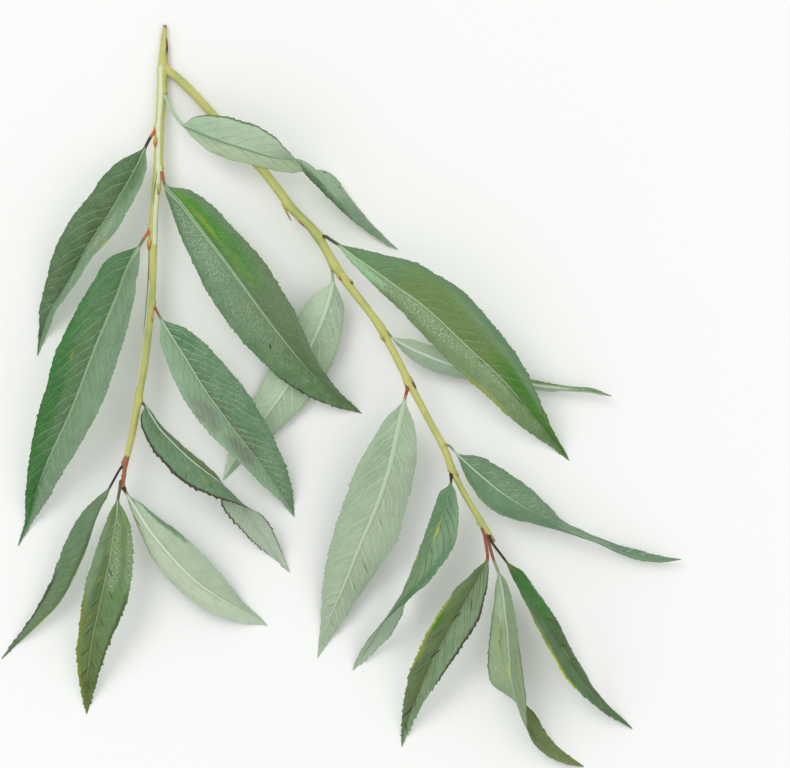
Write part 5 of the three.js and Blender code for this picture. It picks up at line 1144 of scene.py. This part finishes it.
# colours as they look in even light, 0 to 255
DARK, YELLOW, MOSS = (58, 52, 34), (176, 178, 62), (96, 124, 58)
LOOKS = {
    "main_leaf_1": dict(tooth=0.20, spacing=5.2, foot_len=2.6, foot=(188, 110, 54), stalk=(62, 60, 40), face=dict(
        left=(80, 109, 70), right=(114, 142, 109), rib=(160, 186, 146), rib_w=0.34, vein_l=0.85, vein_r=0.35, vein=(150, 178, 136), vein_w=0.09,
        stipple_l=0.25, stipple_r=0.25, hair_l=0.15, hair_r=0.20, feather_r=0.55, feather=(176, 198, 168),
        patches=((0.10, 0.35, 0.20, 0.6, (74, 110, 66), 0.7), (0.33, -0.22, 0.26, 0.28, (74, 100, 56), 0.85),
                 (0.06, -0.3, 0.12, 0.7, (70, 104, 62), 0.6), (0.62, -0.35, 0.22, 0.35, (82, 110, 70), 0.5), (0.42, 0.97, 0.03, 0.10, (176, 168, 60), 0.8)),
        blooms=((0.42, 0.45, 0.17, 0.30, 0.9), (0.60, 0.35, 0.14, 0.35, 0.9), (0.80, -0.2, 0.12, 0.6, 0.5)))),
    "main_leaf_2": dict(tooth=0.28, spacing=4.9, foot_len=3.2, foot=(190, 110, 50), stalk=(112, 132, 86), face=dict(
        left=(75, 117, 72), right=(112, 139, 108), tip_left=(48, 107, 42), tip_right=(106, 133, 102), rib=(165, 190, 156), rib_w=0.75, rib_split=0.6, vein_l=0.75, vein_r=0.75,
        vein=(160, 186, 150), vein_w=0.08, stipple_l=0.15, stipple_r=0.25, hair_l=0.1, hair_r=0.25,
        patches=((0.45, -0.25, 0.30, 0.40, (92, 120, 80), 0.6), (0.60, -0.85, 0.42, 0.55, (46, 104, 40), 1.0), (0.86, -0.5, 0.22, 0.9, (52, 108, 48), 0.95),
                 (0.33, -1.0, 0.22, 0.20, (50, 112, 46), 0.9), (0.38, -0.55, 0.02, 0.05, (140, 148, 62), 0.5), (0.30, 0.8, 0.22, 0.22, (96, 128, 98), 0.6)))),
    "main_leaf_3": dict(tooth=0.34, spacing=4.8, foot_len=2.8, foot=(174, 98, 58), stalk=(120, 120, 76), face=dict(
        left=(95, 125, 90), right=(92, 118, 80), tip_left=(87, 118, 72), rib=(172, 196, 158), rib_w=0.62, rib_split=0.85, vein_l=0.15, vein_r=0.12,
        stipple_l=0.30, stipple_r=0.15, hair_l=0.35, hair_r=0.1, streak=0.4,
        patches=((0.15, 0.38, 0.15, 0.42, (82, 142, 30), 1.0, 1.6), (0.26, 0.42, 0.22, 0.5, (62, 122, 38), 0.85, 1.6), (0.12, 0.85, 0.16, 0.2, (88, 122, 84), 0.8), (0.19, 0.30, 0.09, 0.12, (122, 150, 34), 0.75, 2.0), (0.36, 0.3, 0.12, 0.2, (96, 134, 52), 0.6, 2.0),
                 (0.50, -0.20, 0.10, 0.06, (116, 124, 60), 0.5), (0.62, -0.2, 0.08, 0.08, (112, 122, 62), 0.35), (0.80, 0.1, 0.08, 0.10, (132, 150, 52), 0.7),
                 (0.85, -0.98, 0.16, 0.14, (62, 60, 40), 0.9), (0.95, -0.9, 0.06, 0.3, (70, 74, 46), 0.6)),
        blooms=((0.22, -0.45, 0.22, 0.50, 0.75), (0.48, -0.45, 0.22, 0.40, 0.4)), feather_l=0.35, feather=(150, 176, 146),
        dashes=((0.62, -0.45, 1.0, 0.45, (46, 60, 30), 0.9),))),
    "main_leaf_4": dict(tooth=0.42, spacing=3.7, foot_len=2.6, foot=(150, 84, 66), stalk=(128, 120, 90), face=dict(
        left=(136, 165, 134), right=(89, 124, 88), tip_right=(97, 130, 94), rib=(182, 202, 172), rib_w=0.42, vein_l=0.75, vein_r=0.95, vein=(166, 192, 160), vein_w=0.085,
        stipple_l=0.35, stipple_r=0.45, feather_r=0.3, feather_l=0.3,
        patches=((0.42, -0.6, 0.10, 0.45, (118, 124, 106), 0.75, 2.0), (0.62, -0.5, 0.12, 0.45, (112, 118, 100), 0.7, 2.2), (0.55, 0.12, 0.4, 0.14, (104, 112, 92), 0.6), (0.10, 0.5, 0.12, 0.5, (76, 118, 82), 0.7)),
        blooms=((0.8, 0.3, 0.2, 0.6, 0.6),))),
    "main_leaf_5": dict(tooth=0.55, spacing=4.2, foot_len=0.4, foot=(130, 110, 70), stalk=(82, 92, 62), face=dict(
        left=(98, 129, 96), right=(98, 124, 82), rib=(204, 218, 198), rib_w=0.42, rib_end=1.0, vein_l=0.25, vein_r=0.2,
        stipple_l=0.3, stipple_r=0.2, edge_l=(DARK, 0.9), edge_r=((50, 44, 28), 0.85), edge_w=0.12,
        patches=((0.36, 0.45, 0.20, 0.22, (128, 140, 76), 0.4), (0.10, 0.1, 0.15, 0.8, (82, 112, 76), 0.6), (0.42, -0.4, 0.02, 0.10, (140, 148, 62), 0.4)),
        dashes=((0.40, -0.35, 1.4, 0.25, (150, 156, 60), 0.8), (0.45, -0.5, 1.2, 0.22, (60, 70, 40), 0.7), (0.34, -0.7, 1.2, 0.2, (56, 66, 38), 0.7))),
        back=dict(left=(168, 184, 162), right=(164, 180, 157), specks=0.9, speck=(66, 70, 52), vein_l=0.3, vein_r=0.3, stipple_l=0.5, stipple_r=0.5,
                  edge_l=((72, 78, 52), 0.9), edge_r=((72, 78, 52), 0.9), edge_w=0.10,
                  patches=((0.93, 0.3, 0.03, 0.25, (150, 162, 80), 0.4), (0.62, 0.0, 0.1, 0.8, (150, 166, 140), 0.5)))),
    "main_leaf_6": dict(tooth=0.32, spacing=4.6, foot_len=8.0, foot=(58, 46, 34), stalk=(58, 46, 34), face=dict(
        left=(92, 119, 86), right=(98, 126, 90), rib=(126, 152, 112), rib_w=0.25, rib_s=0.35, rib_dark=0.15, vein_l=0.12, vein_r=0.10, stipple_l=0.12, stipple_r=0.1,
        streak=0.25, edge_r=((176, 184, 44), 1.0, 0.30, 0.80), edge_l=((62, 66, 42), 0.85, 0.5, 0.95), edge_w=0.22,
        patches=((0.40, 0.66, 0.15, 0.28, (166, 174, 50), 0.9, 1.6), (0.58, 0.72, 0.14, 0.20, (150, 162, 60), 0.8, 1.6), (0.74, 0.66, 0.10, 0.28, (176, 184, 42), 0.95, 1.6), (0.45, -0.1, 0.22, 0.3, (104, 128, 78), 0.4), (0.66, -0.2, 0.16, 0.3, (102, 124, 76), 0.4), (0.93, 0.0, 0.08, 0.8, (84, 98, 66), 0.7)))),
    "main_leaf_7": dict(tooth=0.52, spacing=4.4, foot_len=1.5, foot=(110, 84, 56), stalk=(92, 100, 64), face=dict(
        left=(106, 132, 84), right=(103, 131, 81), tip_left=(98, 118, 52), tip_right=(86, 104, 52), rib=(176, 196, 150), rib_w=0.40, rib_s=0.7, rib_end=1.0, vein_l=0.15, vein_r=0.2, vein=(78, 96, 58),
        stipple_l=0.15, stipple_r=0.2, stroke=0.8, streak=0.35, feather_l=0.5, feather=(142, 152, 80),
        patches=((0.52, -0.45, 0.25, 0.4, (94, 116, 66), 0.6), (0.28, -0.75, 0.25, 0.3, (124, 152, 118), 0.7), (0.62, -0.92, 0.26, 0.08, (146, 154, 46), 0.7), (0.86, -0.8, 0.12, 0.2, (132, 138, 48), 0.5), (0.45, 0.6, 0.3, 0.3, (92, 124, 82), 0.6)),
        blooms=((0.16, 0.0, 0.16, 0.55, 1.0), (0.30, 0.25, 0.14, 0.35, 1.0), (0.25, 0.85, 0.2, 0.2, 0.6)),
        dashes=((0.32, 0.15, 2.2, 0.3, (58, 66, 38), 0.8), (0.42, 0.35, 2.0, 0.3, (64, 70, 40), 0.7), (0.55, 0.3, 2.0, 0.3, (62, 70, 38), 0.7), (0.70, -0.4, 2.4, 0.35, (60, 62, 34), 0.7), (0.80, -0.4, 2.2, 0.3, (56, 58, 32), 0.7), (0.66, 0.4, 1.8, 0.3, (70, 74, 40), 0.6), (0.26, -0.25, 2.0, 0.28, (62, 68, 38), 0.7), (0.36, -0.35, 2.2, 0.28, (150, 156, 60), 0.7), (0.47, -0.35, 2.4, 0.3, (58, 62, 34), 0.75), (0.53, -0.45, 2.2, 0.26, (150, 154, 54), 0.7), (0.60, -0.4, 2.4, 0.3, (60, 62, 34), 0.75), (0.76, 0.35, 1.6, 0.28, (58, 60, 34), 0.7), (0.87, 0.2, 1.4, 0.26, (62, 64, 36), 0.6)),
        edge_l=((120, 128, 44), 0.85, 0.45, 1.0), edge_r=((70, 84, 46), 0.8, 0.4, 1.0), edge_w=0.14)),
    "main_leaf_8": dict(tooth=0.12, spacing=5.4, foot_len=1.0, foot=(60, 50, 32), stalk=(84, 92, 56), back=dict(
        left=(175, 192, 165), right=(168, 187, 160), tip_left=(183, 199, 173), rib=(208, 220, 198), rib_w=0.42, vein_l=0.08, vein_r=0.12, stipple_l=0.35, stipple_r=0.1, streak=0.28,
        feather_l=0.05, feather_r=0.05,
        edge_l=((140, 158, 104), 0.7, 0.0, 0.35), edge_w=0.12,
        patches=((0.45, -0.35, 0.3, 0.5, (192, 204, 180), 0.7), (0.20, 0.90, 0.24, 0.22, (98, 130, 96), 0.95, 1.8), (0.12, -0.85, 0.12, 0.15, (120, 122, 60), 0.7, 1.6), (0.02, 0.0, 0.06, 0.9, (92, 100, 58), 0.8)),
        dashes=((0.14, -0.7, 3.0, 0.3, (92, 92, 46), 0.8, 0.1),)),
        face=dict(left=(95, 130, 95), right=(95, 130, 95))),
    "main_leaf_9": dict(tooth=0.34, spacing=4.9, foot_len=0.0, foot=(166, 190, 158), stalk=(166, 190, 158), back=dict(
        left=(192, 212, 177), right=(171, 192, 162), rib=(120, 152, 120), rib_w=0.36, rib_s=0.9, rib_dark=0.1, vein=(122, 152, 122), vein_l=0.75, vein_r=0.45, vein_w=0.10,
        stipple_l=0.3, stipple_r=0.35, stipple=(214, 226, 208), hair_r=0.3, hair=(206, 220, 200),
        edge_l=((150, 166, 120), 0.5), edge_r=((74, 110, 60), 0.85, 0.0, 0.5), edge_w=0.07,
        patches=((0.10, 0.2, 0.12, 0.9, (150, 178, 146), 0.6),)),
        face=dict(left=(145, 172, 140), right=(112, 142, 110), tip_left=(116, 144, 116), tip_right=(112, 140, 112), stipple_l=0.5, stipple_r=0.5,
                  edge_l=((150, 146, 76), 0.8, 0.4, 0.92), edge_r=((58, 66, 38), 0.9), rib=(150, 176, 144), rib_s=0.5, rib_w=0.3,
                  patches=((0.58, 0.12, 0.18, 0.40, (146, 174, 140), 0.85, 1.4), (0.54, 0.85, 0.17, 0.45, (40, 88, 34), 1.0, 1.6), (0.69, 0.85, 0.12, 0.35, (52, 98, 46), 0.85, 1.6), (0.86, 0.0, 0.14, 1.2, (104, 132, 102), 0.6)),
                  dashes=((0.60, -0.75, 1.4, 0.35, (70, 72, 42), 0.8), (0.68, -0.6, 1.2, 0.3, (84, 84, 48), 0.7)))),
    "side_leaf_1": dict(tooth=0.30, spacing=4.9, foot_len=0.6, foot=(84, 74, 46), stalk=(74, 84, 50), face=dict(
        left=(117, 142, 96), right=(104, 130, 70), tip_left=(107, 131, 88), tip_right=(79, 119, 35), rib=(182, 202, 160), rib_w=0.34, rib_s=0.75, vein_l=0.08, vein_r=0.55,
        vein=(140, 170, 118), vein_w=0.10, stipple_l=0.35, stipple_r=0.1, edge_r=((96, 128, 94), 0.8, 0.0, 0.75), edge_w=0.16,
        edge_l=((172, 174, 66), 0.5, 0.56, 0.76), streak=0.36, stroke=0.28,
        patches=((0.08, -0.5, 0.14, 0.7, (152, 194, 150), 0.9), (0.12, 0.5, 0.16, 0.9, (96, 132, 96), 0.75), (0.40, 0.45, 0.24, 0.5, (98, 126, 72), 0.7),
                 (0.74, 0.40, 0.20, 0.5, (66, 118, 34), 0.95), (0.93, 0.2, 0.1, 1.0, (66, 110, 40), 0.85), (0.58, 0.8, 0.3, 0.25, (108, 138, 104), 0.7), (0.72, -0.05, 0.2, 0.10, (84, 120, 56), 0.7)),
        blooms=((0.28, -0.35, 0.30, 0.45, 1.0), (0.08, -0.4, 0.1, 0.5, 0.9), (0.55, -0.2, 0.2, 0.25, 0.8)),
        dashes=((0.74, -0.03, 2.5, 0.25, (60, 62, 36), 0.7, 0.0), (0.56, -0.05, 1.4, 0.22, (52, 56, 34), 0.8, 0.0)))),
    "side_leaf_2": dict(tooth=0.28, spacing=4.2, foot_len=0.8, foot=(150, 84, 58), stalk=(172, 194, 162), back=dict(
        left=(181, 202, 175), right=(161, 183, 153), rib=(206, 224, 196), rib_w=0.62, vein=(208, 226, 200), vein_l=0.85, vein_r=0.85, vein_w=0.13,
        stipple_l=0.15, stipple_r=0.5, feather_l=0.3, feather_r=0.2, edge_l=((168, 180, 130), 0.4), edge_r=((150, 166, 126), 0.5),
        blooms=((0.15, 0.5, 0.16, 0.6, 0.9), (0.35, 0.7, 0.25, 0.3, 0.7)), patches=((0.12, 0.5, 0.14, 0.6, (142, 168, 140), 0.7),)),
        face=dict(left=(95, 130, 95), right=(95, 130, 95))),
    "side_leaf_3": dict(tooth=0.22, spacing=5.2, foot_len=0.6, foot=(76, 70, 44), stalk=(120, 140, 108), back=dict(
        left=(162, 182, 159), right=(156, 175, 147), tip_left=(168, 184, 160), tip_right=(104, 136, 78), rib=(198, 214, 192), rib_w=0.42, vein_l=0.1, vein_r=0.2,
        stipple_l=0.3, stipple_r=0.3, hair_l=0.3, hair_r=0.6, hair=(204, 218, 198), patches=((0.22, -0.65, 0.2, 0.45, (138, 164, 134), 0.5), (0.70, 0.75, 0.22, 0.55, (78, 118, 48), 0.95, 1.4), (0.90, 0.1, 0.12, 0.5, (88, 124, 58), 0.85, 1.4))),
        face=dict(left=(95, 130, 95), right=(95, 130, 95))),
    "side_leaf_4": dict(tooth=0.36, spacing=4.4, foot_len=3.0, foot=(146, 82, 60), stalk=(150, 130, 96), back=dict(
        left=(155, 175, 147), right=(159, 179, 152), rib=(190, 208, 180), rib_w=0.85, rib_s=0.75, vein=(196, 213, 188), vein_l=0.7, vein_r=0.8, vein_w=0.13,
        stipple_l=0.2, stipple_r=0.25, feather_l=0.4, feather_r=0.45, stroke=0.45,
        patches=((0.20, -0.40, 0.22, 0.5, (134, 160, 128), 0.8, 1.8), (0.10, 0.0, 0.10, 0.9, (150, 176, 142), 0.6)),
        dashes=((0.62, 0.5, 2.6, 0.28, (104, 116, 84), 0.8), (0.70, 0.45, 1.8, 0.22, (104, 116, 84), 0.7), (0.44, 0.3, 1.8, 0.25, (110, 122, 84), 0.6), (0.80, -0.3, 1.6, 0.2, (112, 126, 92), 0.7), (0.86, 0.3, 1.6, 0.2, (108, 122, 88), 0.7))),
        face=dict(left=(95, 130, 95), right=(95, 130, 95))),
    "side_leaf_5": dict(tooth=0.40, spacing=4.0, foot_len=2.2, foot=(52, 46, 34), stalk=(84, 90, 60), face=dict(
        left=(103, 136, 99), right=(117, 145, 112), rib=(150, 172, 128), rib_w=0.24, rib_s=0.35, rib_end=0.6, vein=(72, 96, 62), vein_l=0.3, vein_r=1.0, vein_w=0.13,
        stipple_l=0.25, stipple_r=0.2, hair_r=0.2, edge_l=((170, 168, 96), 0.5, 0.34, 0.56), edge_w=0.10, specks=0.35, speck=(64, 60, 40),
        patches=((0.10, 0.0, 0.12, 1.0, (92, 132, 96), 0.6), (0.22, -0.02, 0.07, 0.12, (172, 176, 66), 0.7, 2.0), (0.48, 0.0, 0.14, 0.7, (120, 142, 100), 0.6), (0.40, -0.75, 0.05, 0.12, (176, 172, 66), 0.6), (0.50, 0.85, 0.34, 0.4, (80, 118, 80), 0.9)),
        dashes=((0.23, 0.02, 1.5, 0.22, (186, 184, 70), 0.85, 0.0), (0.40, -0.7, 1.3, 0.25, (176, 170, 62), 0.7), (0.58, -0.3, 0.7, 0.4, (44, 40, 28), 0.9))),
        back=dict(left=(160, 182, 154), right=(158, 180, 152), specks=0.5, patches=((0.68, 0.75, 0.16, 0.5, (84, 128, 92), 0.9, 1.6),), hair_l=0.5, hair_r=0.3, vein_l=0.2, vein_r=0.2, edge_l=((112, 124, 88), 0.6), edge_r=((98, 126, 92), 0.6), edge_w=0.08)),
    "side_leaf_6": dict(tooth=0.24, spacing=4.0, foot_len=0.4, foot=(110, 116, 70), stalk=(120, 142, 112), face=dict(
        left=(105, 138, 104), right=(97, 127, 93), tip_left=(115, 146, 112), tip_right=(91, 121, 91), rib=(190, 208, 184), rib_w=0.22, rib_end=0.42, rib_s=0.85,
        vein_l=0.06, vein_r=0.4, vein=(176, 198, 172), stipple_l=0.15, stipple_r=0.3, feather_r=0.8, feather_l=0.12, stroke=0.3, streak=0.35,
        blooms=((0.3, 0.5, 0.24, 0.6, 0.35), (0.25, -0.95, 0.3, 0.14, 0.7), (0.75, 0.0, 0.3, 1.2, 0.15)))),
    "side_leaf_7": dict(tooth=0.42, spacing=2.6, k=1.9, foot_len=9.0, foot=(150, 92, 70), stalk=(128, 80, 60), face=dict(
        left=(96, 120, 78), right=(118, 143, 107), rib=(128, 146, 96), rib_w=0.35, rib_s=0.4, rib_dark=0.35, vein=(84, 104, 70), vein_l=0.2, vein_r=0.9, vein_w=0.12,
        stipple_l=0.1, stipple_r=0.15, edge_l=((154, 158, 40), 0.75, 0.24, 0.60), edge_r=((62, 52, 34), 0.9, 0.0, 0.62), edge_w=0.11, stroke=0.7, streak=0.55, specks=0.4, speck=(54, 50, 32),
        patches=((0.36, -0.75, 0.06, 0.25, (58, 116, 36), 0.95), (0.30, -0.35, 0.2, 0.4, (98, 116, 66), 0.6), (0.12, 0.5, 0.14, 0.6, (108, 130, 92), 0.6), (0.72, -0.3, 0.15, 0.5, (98, 112, 66), 0.5), (0.66, 0.25, 0.06, 0.10, (134, 142, 66), 0.4), (0.5, -0.35, 0.24, 0.35, (90, 108, 68), 0.5),
                 (0.52, -0.8, 0.06, 0.12, (142, 148, 54), 0.5, 2.2), (0.85, -0.4, 0.12, 0.6, (92, 104, 60), 0.6)),
        dashes=((0.40, -0.4, 2.2, 0.3, (60, 62, 38), 0.75), (0.46, -0.5, 2.0, 0.26, (132, 138, 56), 0.6), (0.60, -0.45, 2.2, 0.3, (60, 60, 36), 0.75), (0.68, -0.35, 2.2, 0.28, (130, 136, 58), 0.6), (0.76, 0.2, 1.6, 0.3, (58, 56, 34), 0.7), (0.90, 0.1, 1.4, 0.4, (54, 50, 30), 0.8), (0.30, 0.0, 1.6, 0.5, (50, 46, 30), 0.8), (0.50, -0.05, 1.8, 0.5, (54, 48, 30), 0.8), (0.82, -0.3, 2.2, 0.6, (58, 50, 30), 0.8), (0.22, 0.4, 1.4, 0.3, (60, 56, 36), 0.7)))),
    "side_leaf_8": dict(tooth=0.30, spacing=4.4, foot_len=9.0, foot=(140, 86, 66), stalk=(140, 150, 120), back=dict(
        left=(137, 159, 121), right=(125, 146, 110), rib=(192, 208, 186), rib_w=0.55, rib_split=0.5, rib_s=0.75, rib_end=0.62, vein_l=0.12, vein_r=0.15,
        stipple_l=0.2, stipple_r=0.2, hair_l=0.15, hair_r=0.35, edge_l=((70, 72, 50), 0.6, 0.16, 0.46), edge_r=((80, 92, 60), 0.6, 0.3, 0.7), edge_w=0.07,
        patches=((0.30, -0.35, 0.08, 0.10, (124, 134, 84), 0.6), (0.12, -0.3, 0.12, 0.7, (168, 190, 162), 0.6), (0.42, -0.10, 0.05, 0.06, (160, 180, 76), 0.7)),
        dashes=((0.42, -0.08, 2.4, 0.25, (168, 188, 66), 0.8, 0.02), (0.20, -0.55, 1.6, 0.2, (78, 84, 58), 0.7, 0.05), (0.38, 0.5, 1.8, 0.22, (82, 90, 60), 0.7, 0.05), (0.48, 0.6, 1.8, 0.22, (76, 82, 56), 0.7, 0.05), (0.26, -0.4, 3.0, 0.35, (136, 134, 80), 0.7, 0.02), (0.30, -0.45, 1.6, 0.2, (80, 78, 52), 0.7, 0.05))),
        face=dict(left=(104, 120, 66), right=(108, 124, 72), rib=(128, 146, 96), rib_s=0.35, vein_l=0.1, vein_r=0.1, edge_l=((72, 78, 44), 0.8), edge_r=((120, 140, 104), 0.6), streak=0.25)),
    "side_leaf_9": dict(tooth=0.46, spacing=4.8, foot_len=9.0, foot=(60, 54, 36), stalk=(62, 68, 40), face=dict(
        left=(74, 106, 66), right=(62, 93, 46), rib=(120, 146, 96), rib_w=0.28, rib_s=0.35, rib_dark=0.35, vein=(132, 156, 104), vein_l=0.15, vein_r=0.15,
        stipple_l=0.2, stipple_r=0.15, edge_l=((176, 184, 44), 0.9, 0.42, 0.64), edge_r=((54, 48, 30), 0.9, 0.3, 1.0), edge_w=0.10, stroke=0.45, streak=0.35,
        patches=((0.10, 0.0, 0.22, 1.4, (46, 106, 40), 0.97, 1.6), (0.24, 0.3, 0.14, 0.8, (56, 112, 44), 0.8), (0.02, 0.0, 0.06, 1.0, (92, 104, 52), 0.8), (0.50, 0.15, 0.05, 0.12, (128, 142, 70), 0.5), (0.40, -0.9, 0.2, 0.14, (136, 152, 60), 0.6), (0.14, 0.95, 0.3, 0.12, (112, 148, 124), 0.8)),
        dashes=((0.33, 0.4, 2.0, 0.3, (44, 44, 26), 0.9), (0.47, 0.35, 2.2, 0.3, (44, 44, 26), 0.9), (0.56, 0.55, 2.2, 0.3, (44, 44, 26), 0.9), (0.75, 0.7, 1.6, 0.5, (24, 24, 18), 0.9)))),
}
BUD_COLOURS = {k: ((164, 142, 70), (150, 84, 48)) for k in BUDS}
BUD_COLOURS["main_bud_1"] = BUD_COLOURS["main_bud_2"] = ((206, 126, 62), (178, 90, 44))
BUD_COLOURS["main_bud_3"] = BUD_COLOURS["main_bud_4"] = ((168, 152, 76), (150, 100, 56))
# the fork spur's near-black body is partly painted shadow in the crease above the fork, partly a bud scar's own brown
BUD_COLOURS["fork_spur"] = ((40, 32, 24), (120, 52, 36))
BUD_COLOURS["side_spur"] = ((176, 120, 78), (136, 74, 56))
BUD_COLOURS["side_bud_1"] = ((164, 104, 62), (150, 76, 58))
BUD_COLOURS["side_bud_5"] = ((96, 84, 48), (66, 48, 34))
BUD_COLOURS["side_bud_3"] = ((110, 96, 54), (70, 56, 38))
# bands: kind, from mm, to mm, angle at each end (0 = level left, 90 = up, 180 = level right), half width (degrees)
# light bands are a painted highlight along the stem; darker bands are painted shade along its sides and in the fork's
# crease, with some darker marks
MAIN_BANDS = (
    ("pale", 14, 52, 112, 96, 26), ("pale", 50, 78, 74, 62, 28), ("pale", 90, 128, 132, 150, 20),
    ("shade_and_marks", 3, 12, 4, 4, 22), ("shade_and_marks", 76, 108, 152, 158, 16), ("shade_and_marks", 10, 26, 6, 10, 12), ("shade_and_marks", 52, 64, 96, 110, 8),
)
SIDE_BANDS = (
    ("shade_and_marks", 26, 33, 12, 12, 20), ("shade_and_marks", 96, 112, 6, 8, 18), ("shade_and_marks", 140, 166, 4, 8, 14),
    ("red", 98, 122, 172, 172, 16), ("red", 68, 80, 170, 170, 18),
)
MAIN_RED = lambda s: np.maximum(np.exp(-s / 1.3) * 0.9, smoothstep(s, MAIN_CURVE.length - 13.0, MAIN_CURVE.length - 10.5))
SIDE_RED = lambda s: smoothstep(s, SIDE_CURVE.length - 5, SIDE_CURVE.length - 1) * 0.5


def stalk_nodes(prefix, curve):
    """Where each stalk leaves the stem, and from which side."""
    out = []
    for key, spec in LEAVES.items():
        if key.startswith(prefix):
            s = nearest(curve, spec["stalk"][0])
            T, N, U = (x[0] for x in curve.axes(np.array([s])))
            v = np.array(spec["stalk"][1]) - np.array(spec["stalk"][0])
            out.append((s, math.atan2(v @ U, v @ N), 1.0 if s < curve.length - 8 else 0.45, 0.55))
    return out


main_nodes = stalk_nodes("main", MAIN_CURVE)
fork = nearest(MAIN_CURVE, SIDE[0])
main_nodes.append((fork, 0.1, 1.5, 0.0))
stem("main_stem", MAIN_CURVE, main_nodes, MAIN_BANDS, 2, MAIN_RED, True)
inside = MAIN_CURVE(fork)[0]
stem("side_shoot", SIDE_CURVE, stalk_nodes("side", SIDE_CURVE), SIDE_BANDS, 5, SIDE_RED, False,
     root=[*(inside[:3] + np.array([0.1, 0.9, 0.0])), SIDE[0][3] * 1.12])
for i, (key, spec) in enumerate(LEAVES.items()):
    leaf(key, spec, MAIN_CURVE if key.startswith("main") else SIDE_CURVE, dict({"seed": i + 1}, **LOOKS[key]))
for i, (key, spec) in enumerate(BUDS.items()):
    bud(key, spec, BUD_COLOURS[key], i + 1)

# ---------------------------------------------------------------- surface, light and camera
g = Nodes("paper_white")
gp = g.scale_colour(g.t.nodes.new("ShaderNodeTexCoord").outputs["Object"], 1.0)
gcol = g.mix(g.noise(gp, 3.0, 3.0, 0.5, 1.0), (240, 241, 239), (243, 244, 242))
floor_mat = g.surface(gcol, 0.9, g.noise(gp, 900.0, 3.0, 0.5, 2.0), strength=0.03, distance=0.0002, spec=0.1)
bpy.ops.mesh.primitive_circle_add(vertices=96, radius=14.0, fill_type="NGON", location=(0, 0, -0.00005))
floor = bpy.context.object
floor.name = "floor"
floor.data.materials.append(floor_mat)

world = bpy.data.worlds.new("soft")
bpy.context.scene.world = world
world.use_nodes = True
world.node_tree.nodes["Background"].inputs[0].default_value = (1.0, 1.0, 1.0, 1.0)
world.node_tree.nodes["Background"].inputs[1].default_value = 0.80


def sun(name, direction, strength, angle, colour=(1, 1, 1)):
    light = bpy.data.lights.new(name, "SUN")
    light.energy, light.angle, light.color = strength, math.radians(angle), colour
    o = bpy.data.objects.new(name, light)
    o.rotation_euler = Vector(direction).to_track_quat("Z", "Y").to_euler()
    bpy.context.scene.collection.objects.link(o)


sun("key", (-0.55, 0.62, 1.0), 0.95, 32)
sun("fill", (0.8, -0.3, 1.1), 0.25, 50)

cam_data = bpy.data.cameras.new("camera")
cam = bpy.data.objects.new("camera", cam_data)
bpy.context.scene.collection.objects.link(cam)
cam_data.type = "PERSP"
cam_data.sensor_fit = "HORIZONTAL"
cam_data.sensor_width = 36.0
cam_data.lens = 36.0 * VIEW_H / FRAME_WIDTH
cam_data.clip_start, cam_data.clip_end = 0.05, 60.0
cam.location = (VIEW_X * MM, VIEW_Y * MM, VIEW_H * MM)
cam.rotation_euler = (0, 0, 0)
bpy.context.scene.camera = cam
bpy.context.scene.view_settings.view_transform = "Standard"
bpy.context.scene.view_settings.look = "None"
bpy.context.scene.view_settings.exposure = 0.0
bpy.context.scene.view_settings.gamma = 1.0
